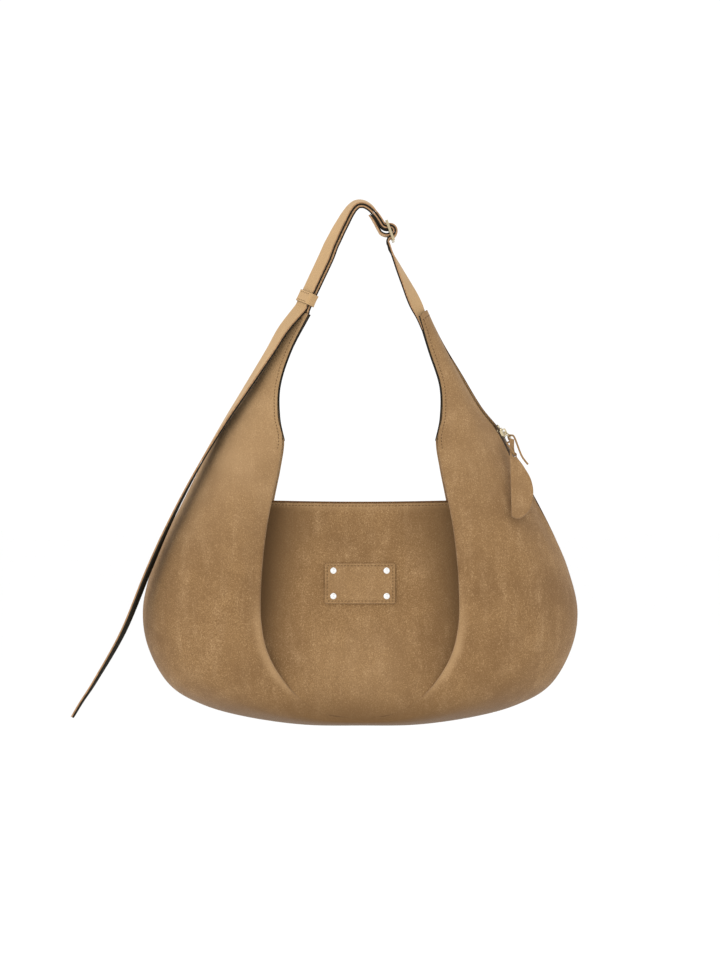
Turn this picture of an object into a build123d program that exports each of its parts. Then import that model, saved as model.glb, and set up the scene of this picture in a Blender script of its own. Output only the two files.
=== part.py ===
"""Slouchy hobo bag in suede, hung by its shoulder strap.

A horseshoe of soft suede wings rises from a rounded base to two narrow handle tips. The wings fold
forward over a recessed centre panel at the front and at the back. A short strap runs from the left tip to a
three-bar buckle. A long strap runs from the right tip, through the buckle, back over the top and down the
left side as a loose tail.

Frame: millimetres, +Z up, the front faces -Y. The origin is the underside of the strap where a hook carries it.
"""
from build123d import *
import math
import os

# ---------------------------------------------------------------- driving dimensions
BODY_WIDTH = 456.0          # across the widest point of the bag
BODY_HEIGHT = 236.0         # base to the edge of the mouth
STRAP_DROP = 308.0          # hang point down to the edge of the mouth
HANDLE_HEIGHT = 193.5       # mouth up to the handle tips
BODY_DEPTH = 112.0          # front belly to back belly

WALL = 1.8                  # suede, doubled and glued
LINING = 1.0                # lining cloth
LINING_SPACE = 1.6          # room between a centre panel and the lining
GAP = 0.4                   # clearance between sewn neighbours
PANEL_TOP_DEPTH = 14.0      # centre panel's distance from the middle plane at the mouth
PANEL_SLOPE = 0.1316        # how fast the centre panel comes forward on its way down
BINDING = 2.6               # height of the bound edge
BINDING_THICK = 2.2

STRAP_WIDTH = 20.0
STRAP_THICK = 3.0
STRAP_SPACING = 4.0         # between the two runs, centre to centre
STRAP_INSERT = 14.0         # length sewn inside a handle tip
TIP_STRAP = 13.0            # the strap's width where it is sewn inside a handle tip
TAIL_TIP_WIDTH = 11.0

BUCKLE_BAR = 2.4            # diameter of the buckle's bars
BUCKLE_SLACK = 0.9          # between a bar and the strap that bends round it
BUCKLE_CENTRE = (31.5, -25.6)
BUCKLE_LEAN = 20.2          # lean of the frame from upright, in degrees
BUCKLE_SIDE_GAP = 0.8

KEEPER_BAND = 13.0          # width of the keeper along the strap
KEEPER_WALL = 1.6
KEEPER_ROOM = 0.9
KEEPER_POSITION = 13.1      # keeper's centre, along the straight run from its lower end

PATCH_WIDTH = 73.5
PATCH_HEIGHT = 42.0
PATCH_THICK = 2.2
PATCH_CENTRE_Z = -394.5
PATCH_CORNER = 2.0
RIVET_SPACING = (55.4, 26.6)
RIVET_HEAD = 6.4            # diameter
RIVET_SHANK = 2.4           # diameter
RIVET_DOME = 1.1
RIVET_CAP_THICK = 0.8

ZIP_TOP = (147.0, -231.5)
ZIP_BOTTOM = (203.0, -347.0)
ZIP_TILT = 15.0             # the zip faces this far forward of the bag's edge, in degrees
ZIP_INSET = 2.2
TAPE_WIDTH = 5.2
TAPE_THICK = 0.8
TAPE_OVERRUN = 4.0
TOOTH_PITCH = 1.8
TOOTH_LENGTH = 2.1
TOOTH_HEIGHT = 1.4
TOOTH_GAP = 0.9             # slit between the two rows, which the slider's web rides in
SLIDER_LENGTH = 11.0
SLIDER_WIDTH = 8.0
SLIDER_PLATE = 1.1
SLIDER_CLEAR = 0.3
SLIDER_POSITION = 6.2      # slider's centre from the top of the teeth
BRIDGE_ROOM = 2.3
BRIDGE_BAR = 1.2
RING_RADIUS = 4.4
RING_WIRE = 1.3             # diameter
RING_LIFT = 24.0            # the ring's rise off the zip, in degrees

TAG_HEIGHT = 92.0
TAG_WIDTH = 25.0
TAG_THICK = 2.6
TAG_TOP = (156.3, -243.0)   # upper end of the tag's straight edge
TAG_TOP_Y = -13.0
TAG_LEAN = 25.0             # the tag leans forward on the bag's belly, in degrees
TAG_EYE = 4.4               # diameter of the eye that the thong passes through
TAG_EYE_AT = (4.4, -20.0)   # eye's centre from the upper end of the straight edge
THONG = 2.0                 # diameter

# ---------------------------------------------------------------- derived places
Z_MOUTH = -STRAP_DROP
Z_BASE = Z_MOUTH - BODY_HEIGHT
HALF_WIDTH = BODY_WIDTH / 2
BELLY = BODY_DEPTH / 2

X_AXIS = Vector(1, 0, 0)
Y_AXIS = Vector(0, 1, 0)
Z_AXIS = Vector(0, 0, 1)

# One station is one rib of the horseshoe, from the bottom centre (first) to the handle tip (last):
# outer end as (share of half width, level), inner end the same way, belly as a share of BELLY,
# inner edge's depth as a share of the station's belly, and the rib's turn from edge-on in degrees.
# Level 0 is the base, 1 the mouth and 2 the handle tips.
STATIONS = [
    ((0.000, 0.000), (0.000, 0.046), 0.77, 1.00, 90),
    ((0.263, 0.003), (0.158, 0.064), 0.82, 0.98, 90),
    ((0.518, 0.036), (0.289, 0.140), 0.89, 0.96, 90),
    ((0.724, 0.091), (0.377, 0.237), 0.96, 0.93, 90),
    ((0.877, 0.180), (0.432, 0.339), 1.00, 0.91, 90),
    ((0.974, 0.343), (0.458, 0.462), 1.00, 0.89, 90),
    ((1.000, 0.513), (0.461, 0.597), 0.98, 0.89, 90),
    ((0.956, 0.691), (0.450, 0.754), 0.93, 0.88, 90),
    ((0.890, 0.835), (0.432, 0.894), 0.86, 0.88, 90),
    ((0.816, 0.975), (0.410, 1.010), 0.77, 0.88, 90),
    ((0.728, 1.180), (0.382, 1.170), 0.64, 0.89, 90),
    ((0.658, 1.362), (0.355, 1.325), 0.52, 0.90, 88),
    ((0.574, 1.511), (0.371, 1.455), 0.36, 0.90, 84),
    ((0.469, 1.682), (0.364, 1.620), 0.22, 0.92, 76),
    ((0.382, 1.857), (0.311, 1.811), 0.14, 0.95, 65),
    ((0.313, 2.027), (0.249, 1.973), 0.10, 1.00, 50),
]
CORNER = 11                 # the station where the wing's folded edge meets the bound edge
# The rib's outline: (share of the way in from the outer end, share of the belly).
RIB_SHAPE = [(0.05, 0.25), (0.16, 0.55), (0.36, 0.86), (0.60, 1.00), (0.83, 1.00)]
# The right side's rims stand apart for the zip, by station: (half gap, front rim set in, back rim set out).
ZIP_RIM = {7: (3.4, 0.0, 2.0), 8: (6.0, 0.0, 3.4), 9: (6.0, 0.0, 3.4), 10: (6.2, 0.0, 3.2),
           11: (6.6, -0.2, 3.0), 12: (6.6, -2.0, 4.0), 13: (2.0, 0.0, 0.8)}
# The centre panel's rows, as levels, and how far each tucks in behind the wings.
PANEL_ROWS = [(1.00, 22), (0.88, 22), (0.76, 22), (0.61, 22), (0.48, 22), (0.356, 16), (0.25, 9), (0.165, 5),
              (0.102, 3), (0.060, 2), (0.036, 16)]
PANEL_SHARES = (-1, -0.8, -0.6, -0.3, 0, 0.3, 0.6, 0.8, 1)      # where a row's points lie, by half width
PLEAT_ROWS = [(1.00, 22), (0.88, 22), (0.76, 22), (0.61, 22), (0.48, 22), (0.356, 16), (0.25, 9)]


def level_z(level):
    """Height of a level: 0 at the base, 1 at the mouth, 2 at the handle tips."""
    if level <= 1:
        return Z_BASE + level * BODY_HEIGHT
    return Z_MOUTH + (level - 1) * HANDLE_HEIGHT


def plane_point(x, z):
    return Vector(x, 0, z)


def between(pairs, x):
    """Straight-line reading of a list of (x, y) pairs sorted by x."""
    for (x0, y0), (x1, y1) in zip(pairs, pairs[1:]):
        if x <= x1:
            return y0 + (y1 - y0) * (x - x0) / (x1 - x0)
    return pairs[-1][1]


# ---------------------------------------------------------------- shared makers
def sheet_normals(grid):
    """Unit normals of a grid of points, by central differences."""
    rows, columns = len(grid), len(grid[0])
    normals = []
    for i in range(rows):
        line = []
        for j in range(columns):
            along = grid[min(i + 1, rows - 1)][j] - grid[max(i - 1, 0)][j]
            across = grid[i][min(j + 1, columns - 1)] - grid[i][max(j - 1, 0)]
            line.append(along.cross(across).normalized())
        normals.append(line)
    return normals


def wall_solid(outer_grid, inner_grid):
    """A closed sheet lofted through the rows of its outer and inner faces. The end rows are flat."""
    wires = []
    for near, far in zip(outer_grid, inner_grid):
        edges = [Edge.make_spline(near), Edge.make_line(near[-1], far[-1])]
        edges += [Edge.make_spline(far[::-1]), Edge.make_line(far[0], near[0])]
        wires.append(Wire(edges))
    return Solid.make_loft(wires, ruled=True)


def sheet_solid(grid, thickness, inward, caps):
    """A closed sheet with its wall on the side that `inward` points to; caps are the flat ends' normals."""
    normals = sheet_normals(grid)
    middle = normals[len(grid) // 2][len(grid[0]) // 2]
    side = 1 if middle.dot(inward) > 0 else -1
    for row, cap in ((0, caps[0]), (-1, caps[1])):
        normals[row] = [(n - cap * n.dot(cap)).normalized() for n in normals[row]]
    inner = [[p + n * (side * thickness) for p, n in zip(ps, ns)] for ps, ns in zip(grid, normals)]
    return wall_solid(grid, inner)


def band(sections):
    """A closed strip through rectangular sections: (centre, width direction, width, normal, thickness)."""
    wires = []
    for centre, across, width, normal, thickness in sections:
        w, n = across * (width / 2), normal * (thickness / 2)
        corners = [centre - w - n, centre + w - n, centre + w + n, centre - w + n]
        wires.append(Wire.make_polygon(corners, close=True))
    return Solid.make_loft(wires, ruled=True)


def flip_x(shape):
    return shape.mirror(Plane.YZ)


def flip_y(shape):
    return shape.mirror(Plane.XZ)


# ---------------------------------------------------------------- the wings
def station_frame(index):
    """Outer end, inner end, width direction and front normal of a rib on the right side."""
    (ox, ol), (ix, il), _, _, turn = STATIONS[index]
    outer = plane_point(ox * HALF_WIDTH, level_z(ol))
    inner = plane_point(ix * HALF_WIDTH, level_z(il))
    if index == 0:
        return outer, inner, Vector(0, 0, -1), -Y_AXIS
    outward = (outer - inner).normalized()
    angle = math.radians(turn)
    across = Y_AXIS * math.cos(angle) + outward * math.sin(angle)
    front = outward * math.cos(angle) - Y_AXIS * math.sin(angle)
    centre = (outer + inner) / 2
    half = (outer - inner).length / 2 / math.sin(angle)
    return centre + across * half, centre - across * half, across, front


def wing_grid(side, zipped, inside):
    """Points of the right wing's outer or inner face: side is 1 for the front and -1 for the back."""
    grid = []
    for index, (_, _, belly, edge, _) in enumerate(STATIONS):
        outer, inner, across, front = station_frame(index)
        gap, front_in, back_out = ZIP_RIM.get(index, (GAP / 2, 0.0, 0.0)) if zipped else (GAP / 2, 0.0, 0.0)
        outer = outer - across * (front_in if side > 0 else -back_out)
        depth = belly * BELLY - (WALL if inside else 0)
        start = gap / depth
        shape = [(0.0, start)] + [(a, max(b, start + 0.1 * (k + 1))) for k, (a, b) in enumerate(RIB_SHAPE)]
        shape.append((1.0, edge))
        length = (inner - outer).length
        skip = WALL / length if inside else 0
        run = (inner - outer) * (1 - skip)
        first = outer + (inner - outer) * skip + X_AXIS * (GAP / 2 if index == 0 else 0)
        grid.append([first + run * a + front * (side * depth * b) for a, b in shape])
    return grid


def wing(side, zipped):
    return wall_solid(wing_grid(side, zipped, False), wing_grid(side, zipped, True))


# ---------------------------------------------------------------- the centre panels
def fold_line():
    """(level-free height, x, depth) of the wing's inner edge, from the bottom up to the corner."""
    rows = []
    for index in range(CORNER + 1):
        _, inner, _, _ = station_frame(index)
        rows.append((inner.Z, inner.X, STATIONS[index][2] * STATIONS[index][3] * BELLY))
    return rows


def fold_x(z):
    return between([(row[0], row[1]) for row in fold_line()], z)


def fold_depth(z):
    return between([(row[0], row[2]) for row in fold_line()], z)


def panel_depth(z):
    """Distance of the centre panel's face from the middle plane, flat from the mouth down past the patch."""
    flat = PANEL_TOP_DEPTH + (Z_MOUTH - z) * PANEL_SLOPE
    return min(flat, fold_depth(z) - WALL - 3 * GAP)


def centre_panel():
    """The recessed front panel. Its sides tuck in behind the wings."""
    grid = []
    for level, tuck in PANEL_ROWS:
        z = level_z(level)
        half = max(fold_x(z), 0) + tuck
        depth = panel_depth(z)
        grid.append([Vector(half * share, -depth, z) for share in PANEL_SHARES])
    return sheet_solid(grid, WALL, Y_AXIS, (Z_AXIS, Z_AXIS))


def pleat_return():
    """The hidden ply behind the right wing's folded edge, from the fold back to the centre panel's side."""
    grid = []
    for level, tuck in PLEAT_ROWS:
        z = level_z(level)
        x, near, far = fold_x(z), fold_depth(z) - WALL - GAP, panel_depth(z) + GAP
        middle = (near + far) / 2
        grid.append([
            Vector(x + 1.5, -near, z),
            Vector(x + 0.55 * tuck, -near, z),
            Vector(x + 0.92 * tuck, -(near + middle) / 2, z),
            Vector(x + 1.0 * tuck, -middle, z),
            Vector(x + 0.92 * tuck, -(far + middle) / 2, z),
            Vector(x + 0.55 * tuck, -far, z),
        ])
    return sheet_solid(grid, WALL, X_AXIS * -1, (Z_AXIS, Z_AXIS))


def lining_sheet():
    """The front half of the drop-in lining, which runs under the base to the middle plane."""
    heights = [level_z(v) for v in (0.985, 0.85, 0.7, 0.5, 0.3, 0.15)]
    rows = [(z, panel_depth(z) - WALL - LINING_SPACE) for z in heights]
    rows += [(level_z(0.060), rows[-1][1] * 0.95), (level_z(0.034), rows[-1][1] * 0.76),
             (level_z(0.021), rows[-1][1] * 0.42), (level_z(0.017), GAP)]
    outline = sorted((level_z(s[0][1]), s[0][0] * HALF_WIDTH) for s in STATIONS[:CORNER])
    grid = []
    for z, depth in rows:
        inset = 10 + 18 * max(0, 1 - (z - Z_BASE) / (0.3 * BODY_HEIGHT))
        half = between(outline, z) - inset
        line = []
        for share, full in ((-1, 0.1), (-0.94, 0.42), (-0.8, 0.78), (-0.5, 1), (0, 1), (0.5, 1), (0.8, 0.78),
                            (0.94, 0.42), (1, 0.1)):
            line.append(Vector(half * share, -max(depth * full, GAP), z))
        grid.append(line)
    return sheet_solid(grid, LINING, Y_AXIS, (Z_AXIS, Y_AXIS))


def mouth_binding():
    """Bound edge along the top of the front centre panel."""
    half = fold_x(Z_MOUTH) + PANEL_ROWS[0][1]
    place = Pos(0, -PANEL_TOP_DEPTH + WALL / 2, Z_MOUTH + GAP + BINDING / 2)
    return place * Box(2 * half, BINDING_THICK, BINDING)


def wing_binding():
    """Bound edge of the right front wing's inner side, from the corner up to the handle tip."""
    sections = []
    for index in range(CORNER, len(STATIONS)):
        _, inner, across, front = station_frame(index)
        depth = STATIONS[index][2] * STATIONS[index][3] * BELLY - WALL / 2
        centre = inner - across * (GAP + BINDING / 2) + front * depth
        sections.append((centre, across, BINDING, front, WALL))
    return band(sections)


# ---------------------------------------------------------------- patch
def panel_place(z):
    """A plane on the front centre panel's face at height z, its z axis pointing out of the bag."""
    slope = Vector(0, PANEL_SLOPE, 1).normalized()
    out = Vector(0, -1, PANEL_SLOPE).normalized()
    origin = Vector(0, -(PANEL_TOP_DEPTH + (Z_MOUTH - z) * PANEL_SLOPE), z)
    return Plane(origin=origin, x_dir=slope.cross(out), z_dir=out)


RIVET_HOLE = RIVET_SHANK / 2 + 0.15             # radius


def rivet_places():
    return [(sx * RIVET_SPACING[0] / 2, sy * RIVET_SPACING[1] / 2) for sx in (-1, 1) for sy in (-1, 1)]


def pierced(panel):
    """The front panel with its four rivet holes."""
    for x, y in rivet_places():
        panel -= panel_place(PATCH_CENTRE_Z) * Pos(x, y, 0) * Cylinder(RIVET_HOLE, 4 * WALL)
    return panel


def front_patch():
    plate = Pos(0, 0, GAP + PATCH_THICK / 2) * Box(PATCH_WIDTH, PATCH_HEIGHT, PATCH_THICK)
    plate = fillet(plate.edges().filter_by(Axis.Z), PATCH_CORNER)
    for x, y in rivet_places():
        plate -= Pos(x, y, 0) * Cylinder(RIVET_HOLE, 4 * PATCH_THICK)
    return panel_place(PATCH_CENTRE_Z) * plate


def rivet_heads():
    """Four domed rivets, each with its shank through the patch and the panel."""
    ball = (RIVET_HEAD**2 / 4 + RIVET_DOME**2) / (2 * RIVET_DOME)
    foot = GAP + PATCH_THICK
    tail = -(WALL + GAP)
    solids = []
    for x, y in rivet_places():
        dome = Pos(x, y, foot + RIVET_DOME - ball) * Sphere(ball)
        dome &= Pos(x, y, foot + RIVET_DOME) * Box(2 * RIVET_HEAD, 2 * RIVET_HEAD, 2 * RIVET_DOME)
        shank = Pos(x, y, (foot + tail) / 2 + 0.1) * Cylinder(RIVET_SHANK / 2, foot - tail + 0.2)
        solids.append((panel_place(PATCH_CENTRE_Z) * (dome + shank)).solid())
    return Compound(children=solids)


def rivet_caps():
    """The rivets' backing washers, behind the panel."""
    solids = []
    for x, y in rivet_places():
        cap = Cylinder(RIVET_HEAD / 2, RIVET_CAP_THICK)
        cap -= Cylinder(RIVET_SHANK / 2 + 0.05, 2 * RIVET_CAP_THICK)
        place = Pos(x, y, -(WALL + 0.1 + RIVET_CAP_THICK / 2))
        solids.append((panel_place(PATCH_CENTRE_Z) * place * cap).solid())
    return Compound(children=solids)


# ---------------------------------------------------------------- zip
ZIP_RUN = plane_point(*ZIP_BOTTOM) - plane_point(*ZIP_TOP)
ZIP_LENGTH = ZIP_RUN.length
ZIP_ALONG = ZIP_RUN.normalized()
ZIP_EDGE = Vector(-ZIP_ALONG.Z, 0, ZIP_ALONG.X)
ZIP_OUT = ZIP_EDGE * math.cos(math.radians(ZIP_TILT)) - Y_AXIS * math.sin(math.radians(ZIP_TILT))
ZIP_ACROSS = Y_AXIS * math.cos(math.radians(ZIP_TILT)) + ZIP_EDGE * math.sin(math.radians(ZIP_TILT))
# Local axes: x along the zip (downwards), y across it (towards the back) and z out of the bag.
ZIP_PLANE = Plane(origin=plane_point(*ZIP_TOP) - ZIP_EDGE * ZIP_INSET, x_dir=ZIP_ALONG, z_dir=ZIP_OUT)
TAPE_TOP = TAPE_THICK / 2
TEETH_TOP = TAPE_TOP + TOOTH_HEIGHT
PLATE_TOP = TEETH_TOP + SLIDER_CLEAR + SLIDER_PLATE


def zip_side():
    """1 if the zip plane's own y axis points to the back, as the layout below takes it, or else -1."""
    return 1 if ZIP_PLANE.y_dir.dot(ZIP_ACROSS) > 0 else -1


def zip_tape(side):
    length = ZIP_LENGTH + 2 * TAPE_OVERRUN
    y = side * zip_side() * (TOOTH_GAP / 2 + TAPE_WIDTH / 2)
    return ZIP_PLANE * Pos(ZIP_LENGTH / 2, y, 0) * Box(length, TAPE_WIDTH, TAPE_THICK)


def zip_teeth(side):
    """One row of coil: a cord along the tape with a tooth at each pitch."""
    cord = 0.9
    y = side * zip_side() * (TOOTH_GAP / 2 + TOOTH_LENGTH - cord / 2)
    row = Pos(ZIP_LENGTH / 2, y, TAPE_TOP + TOOTH_HEIGHT / 2) * Box(ZIP_LENGTH, cord, TOOTH_HEIGHT)
    count = int(ZIP_LENGTH / TOOTH_PITCH)
    reach = TOOTH_LENGTH - cord
    y = side * zip_side() * (TOOTH_GAP / 2 + reach / 2)
    shift = 0.5 if side > 0 else 0.0
    teeth = [
        Pos((k + 0.4 + shift) * TOOTH_PITCH, y, TAPE_TOP + TOOTH_HEIGHT / 2)
        * Box(TOOTH_PITCH * 0.55, reach, TOOTH_HEIGHT * 0.86)
        for k in range(count)
    ]
    return ZIP_PLANE * row.fuse(*teeth)


def zip_stop(x):
    """A crimped stop across both tapes."""
    width = 2 * TOOTH_LENGTH + TOOTH_GAP
    return ZIP_PLANE * Pos(x, 0, TAPE_TOP + 0.05 + TOOTH_HEIGHT / 2) * Box(2.4, width, TOOTH_HEIGHT)


def zip_slider():
    """Two plates joined by a thin web, with a bridge on top for the ring."""
    rail_y = TOOTH_GAP / 2 + TOOTH_LENGTH + SLIDER_CLEAR
    top = Pos(0, 0, PLATE_TOP - SLIDER_PLATE / 2) * Box(SLIDER_LENGTH, SLIDER_WIDTH, SLIDER_PLATE)
    top = fillet(top.edges().filter_by(Axis.Z), 2.4)
    under = -TAPE_TOP - SLIDER_CLEAR
    base = Pos(0, 0, under - SLIDER_PLATE / 2) * Box(SLIDER_LENGTH, SLIDER_WIDTH, SLIDER_PLATE)
    base = fillet(base.edges().filter_by(Axis.Z), 2.4)
    web_height = PLATE_TOP - under + SLIDER_PLATE - 0.2
    web = Pos(-SLIDER_LENGTH / 2 + 2.5, 0, (PLATE_TOP + under - SLIDER_PLATE) / 2) * Box(3, 0.4, web_height)
    rail_width = SLIDER_WIDTH / 2 - rail_y
    rail_z = (TAPE_TOP + SLIDER_CLEAR + PLATE_TOP - SLIDER_PLATE / 2) / 2
    rail_height = PLATE_TOP - SLIDER_PLATE / 2 - TAPE_TOP - SLIDER_CLEAR
    body = top + base + web
    for side in (-1, 1):
        place = Pos(0, side * (rail_y + rail_width / 2), rail_z)
        body += place * Box(SLIDER_LENGTH - 5, rail_width, rail_height)
    length = BRIDGE_ROOM + 2.4 + 2 * BRIDGE_BAR
    height = BRIDGE_ROOM + BRIDGE_BAR
    bridge = Pos(0, 0, PLATE_TOP + height / 2 - 0.1) * Box(length, 2.2, height + 0.2)
    bridge = fillet(bridge.edges().filter_by(Axis.Y).group_by(Axis.Z)[-1], 1.6)
    bridge -= Pos(0, 0, PLATE_TOP + BRIDGE_ROOM / 2) * Box(length - 2 * BRIDGE_BAR, 4, BRIDGE_ROOM)
    return ZIP_PLANE * Pos(SLIDER_POSITION, 0, 0) * (body + bridge)


RING_PIVOT = ZIP_PLANE.from_local_coords(Vector(SLIDER_POSITION, 0, PLATE_TOP + BRIDGE_ROOM / 2))
RING_HANG = ZIP_ALONG * math.cos(math.radians(RING_LIFT)) + ZIP_OUT * math.sin(math.radians(RING_LIFT))
RING_END = RING_PIVOT + RING_HANG * (2 * RING_RADIUS)


def pull_ring():
    """A wire ring through the slider's bridge. Its plane holds the zip's width direction."""
    centre = RING_PIVOT + RING_HANG * RING_RADIUS
    plane = Plane(origin=centre, x_dir=ZIP_ACROSS, z_dir=ZIP_ACROSS.cross(RING_HANG))
    return plane * Torus(RING_RADIUS, RING_WIRE / 2)


# ---------------------------------------------------------------- pull tag
TAG_PLANE = Plane(origin=(TAG_TOP[0], TAG_TOP_Y, TAG_TOP[1]), x_dir=(1, 0, 0),
                  z_dir=Vector(0, -math.cos(math.radians(TAG_LEAN)), math.sin(math.radians(TAG_LEAN))))


def pull_tag():
    """Half-moon tag: a straight edge on the left, a narrow neck above and one full curve on the right."""
    w, h = TAG_WIDTH, TAG_HEIGHT
    neck = 0.2 * w
    curve = Spline((neck, -0.02 * h), (0.24 * w, -0.20 * h), (0.62 * w, -0.37 * h), (0.94 * w, -0.55 * h),
                   (0.97 * w, -0.76 * h), (0.72 * w, -0.93 * h), (0.25 * w, -h), (0, -0.975 * h))
    outline = Line((0, -0.975 * h), (0, 0)) + Line((0, 0), (neck, -0.02 * h)) + curve
    plate = extrude(make_face(outline), TAG_THICK / 2, both=True)
    plate -= Pos(TAG_EYE_AT[0], TAG_EYE_AT[1], 0) * Cylinder(TAG_EYE / 2, 3 * TAG_THICK)
    return TAG_PLANE * plate


def tag_point(x, y, out):
    """A point by its place on the tag's face and its distance out of the tag's middle plane."""
    return TAG_PLANE.from_local_coords(Vector(x, y, out))


def by_ring(hang, face, across):
    """A point about the ring's lowest wire: down the ring, out of its inner face, and towards the back."""
    inner_face = ZIP_ACROSS.cross(RING_HANG)
    return RING_END + RING_HANG * hang + inner_face * face + ZIP_ACROSS * across


def thong_route():
    """From the tag's eye up past the ring's wire, through the ring, down again and out as a loose end."""
    eye_x, eye_y = TAG_EYE_AT
    face = TAG_THICK / 2
    return [
        tag_point(eye_x, eye_y, -0.6),
        tag_point(eye_x, eye_y, face + 2.4),
        tag_point(eye_x - 4.8, eye_y + 8.0, face + 3.0),
        RING_END + Vector(-5.2, -9.4, -6.0),
        by_ring(3.2, 2.4, -4.4),
        by_ring(-0.6, 2.6, -0.8),
        by_ring(-3.6, 0, 0),
        by_ring(-0.6, -2.6, -0.6),
        by_ring(2.2, -4.6, -5.6),
        tag_point(eye_x + 4.4, eye_y + 5.0, face + 5.0),
        tag_point(eye_x + 8.0, eye_y - 6.0, face + 4.8),
        tag_point(eye_x + 13.6, eye_y - 13.0, face + 4.6),
    ]


def corner_radii(points):
    """Each corner's arc: 0.45 of its shorter run over the tangent of half its turn."""
    radii = []
    for a, b, c in zip(points, points[1:], points[2:]):
        turn = math.radians((b - a).get_angle(c - b))
        radii.append(0.45 * min((b - a).length, (c - b).length) / math.tan(turn / 2))
    return radii


def pull_thong():
    points = thong_route()
    radii = corner_radii(points)
    path = FilletPolyline(*points, radius=radii)
    start = Plane(origin=path @ 0, z_dir=path % 0)
    tube = sweep(start * Circle(THONG / 2), path=path)
    print("thong radii", [round(r, 1) for r in radii], "length", round(path.length, 1),
          "volume share", round(tube.volume / (math.pi * THONG**2 / 4 * path.length), 4))
    return tube


# ---------------------------------------------------------------- buckle
LEAN = math.radians(BUCKLE_LEAN)
BUCKLE_DOWN = Vector(math.sin(LEAN), 0, -math.cos(LEAN))
BUCKLE_RIGHT = Vector(math.cos(LEAN), 0, math.sin(LEAN))
BUCKLE_AT = plane_point(*BUCKLE_CENTRE)
FOLD_RADIUS = BUCKLE_BAR / 2 + 0.3 + STRAP_THICK / 2                    # short strap round the middle bar
LOOP_RADIUS = FOLD_RADIUS + STRAP_THICK + GAP                           # long strap round both
WRAP_RADIUS = BUCKLE_BAR / 2 + BUCKLE_SLACK + STRAP_THICK / 2           # long strap round an outer bar
BAR_OFFSET = LOOP_RADIUS + WRAP_RADIUS                                  # middle bar to outer bar
SIDE_OFFSET = STRAP_WIDTH / 2 + BUCKLE_SIDE_GAP + BUCKLE_BAR / 2


def buckle_point(right, down):
    return BUCKLE_AT + BUCKLE_RIGHT * right + BUCKLE_DOWN * down


def buckle_frame():
    """Three round bars across, between two square-edged sides."""
    plane = Plane(origin=BUCKLE_AT, x_dir=BUCKLE_DOWN, z_dir=BUCKLE_RIGHT)
    bar = Rot(90, 0, 0) * Cylinder(BUCKLE_BAR / 2, 2 * SIDE_OFFSET)
    rail = BUCKLE_BAR + 0.3
    side = Box(2 * BAR_OFFSET + rail, rail, rail)
    side = chamfer(side.edges().filter_by(Axis.X), 0.5)
    shape = bar
    for end in (-1, 1):
        shape += Pos(end * BAR_OFFSET, 0, 0) * bar
        shape += Pos(0, end * SIDE_OFFSET, 0) * side
    return plane * shape


# ---------------------------------------------------------------- straps
LEG_LOW = plane_point(-59.5, -108.5)            # lower end of the left leg, on the short strap
LEG_RUN = Vector(0.424, 0, 0.906).normalized()
LEG_STRAIGHT = (4.0, 60.0)                      # the leg runs straight and untwisting between these places
LEG_TURN = 34.0                                 # the strap's turn from edge-on along the left leg, in degrees
TIP_TURN = STATIONS[-1][4]
RETURN_START = 2.0                              # straight run past the middle bar, before the turn back up
RETURN_RADIUS = 8.4
RETURN_TURN = 166                               # where that turn ends, in degrees from the buckle's right
RETURN_STOPS = 2                                # how far the end is sewn up its own run
HINGE_PLACE = 2.0                               # the tail begins here, along the left leg
LAYER = STRAP_THICK / 2 - 0.1                   # suede face and lining are equally thick
SHORT_TOP = [(-28.9, -41.7, 31), (-24.7, -33.3, 29), (-20.5, -24.9, 27), (-15.8, -16.5, 24),
             (-11.7, -9.2, 21), (-7.2, -2.8, 18), (-3.2, 0.7, 16), (0.0, 1.5, 14),
             (4.4, 0.8, 11), (9.2, -2.2, 8), (13.4, -6.8, 4), (17.2, -12.2, 0)]
LONG_RISE = [(59.2, -104.0, 42), (54.4, -93.5, 34), (48.6, -81.0, 25), (42.4, -68.0, 16), (36.6, -55.4, 7),
             (31.8, -45.0, 0)]
# The tail's route down over the left wing: x, y, z and turn.
TAIL_ROUTE = [(-72, -6, -113.5, 33), (-80, -8.5, -129, 29), (-95, -10, -154, 23), (-119, -14, -192, 15),
              (-143, -18, -230, 8), (-172, -23, -280, 2), (-198, -26, -331, -2), (-220, -28, -381, -7),
              (-246, -28, -444, -6), (-275, -26, -495, -2), (-290, -25, -518, 0)]
TAIL_TIP = (-299, -24, -533, 0)


def frames(stops):
    """(centre, width direction, outward normal, width) at each stop: centre, turn in degrees, maybe width.

    The stops run clockwise over the arch as seen from the front, so the outer face is on their left.
    """
    result = []
    for k, stop in enumerate(stops):
        turn = math.radians(stop[1])
        along = (stops[min(k + 1, len(stops) - 1)][0] - stops[max(k - 1, 0)][0]).normalized()
        outward = along.cross(Y_AXIS).normalized()
        across = Y_AXIS * math.cos(turn) + outward * math.sin(turn)
        across = (across - along * across.dot(along)).normalized()
        width = stop[2] if len(stop) > 2 else STRAP_WIDTH
        result.append((stop[0], across, along.cross(across).normalized(), width))
    return result


def layer(places, side):
    """One layer of a strap: side is 1 for the suede on the outer face and -1 for the lining."""
    shift = side * (STRAP_THICK - LAYER) / 2
    return band([(c + normal * shift, across, width, normal, LAYER) for c, across, normal, width in places])


def arc_stops(centre, start, end, radius, steps):
    """Stops on an arc in the buckle's own (right, down) coordinates, in degrees from right towards down."""
    stops = []
    for k in range(steps + 1):
        angle = math.radians(start + (end - start) * k / steps)
        right, down = radius * math.cos(angle), radius * math.sin(angle)
        stops.append((buckle_point(centre[0] + right, centre[1] + down), 0))
    return stops


def tip_centre(side):
    outer, inner = STATIONS[-1][0], STATIONS[-1][1]
    x = (outer[0] + inner[0]) / 2 * HALF_WIDTH
    return plane_point(side * x, (level_z(outer[1]) + level_z(inner[1])) / 2)


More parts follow.
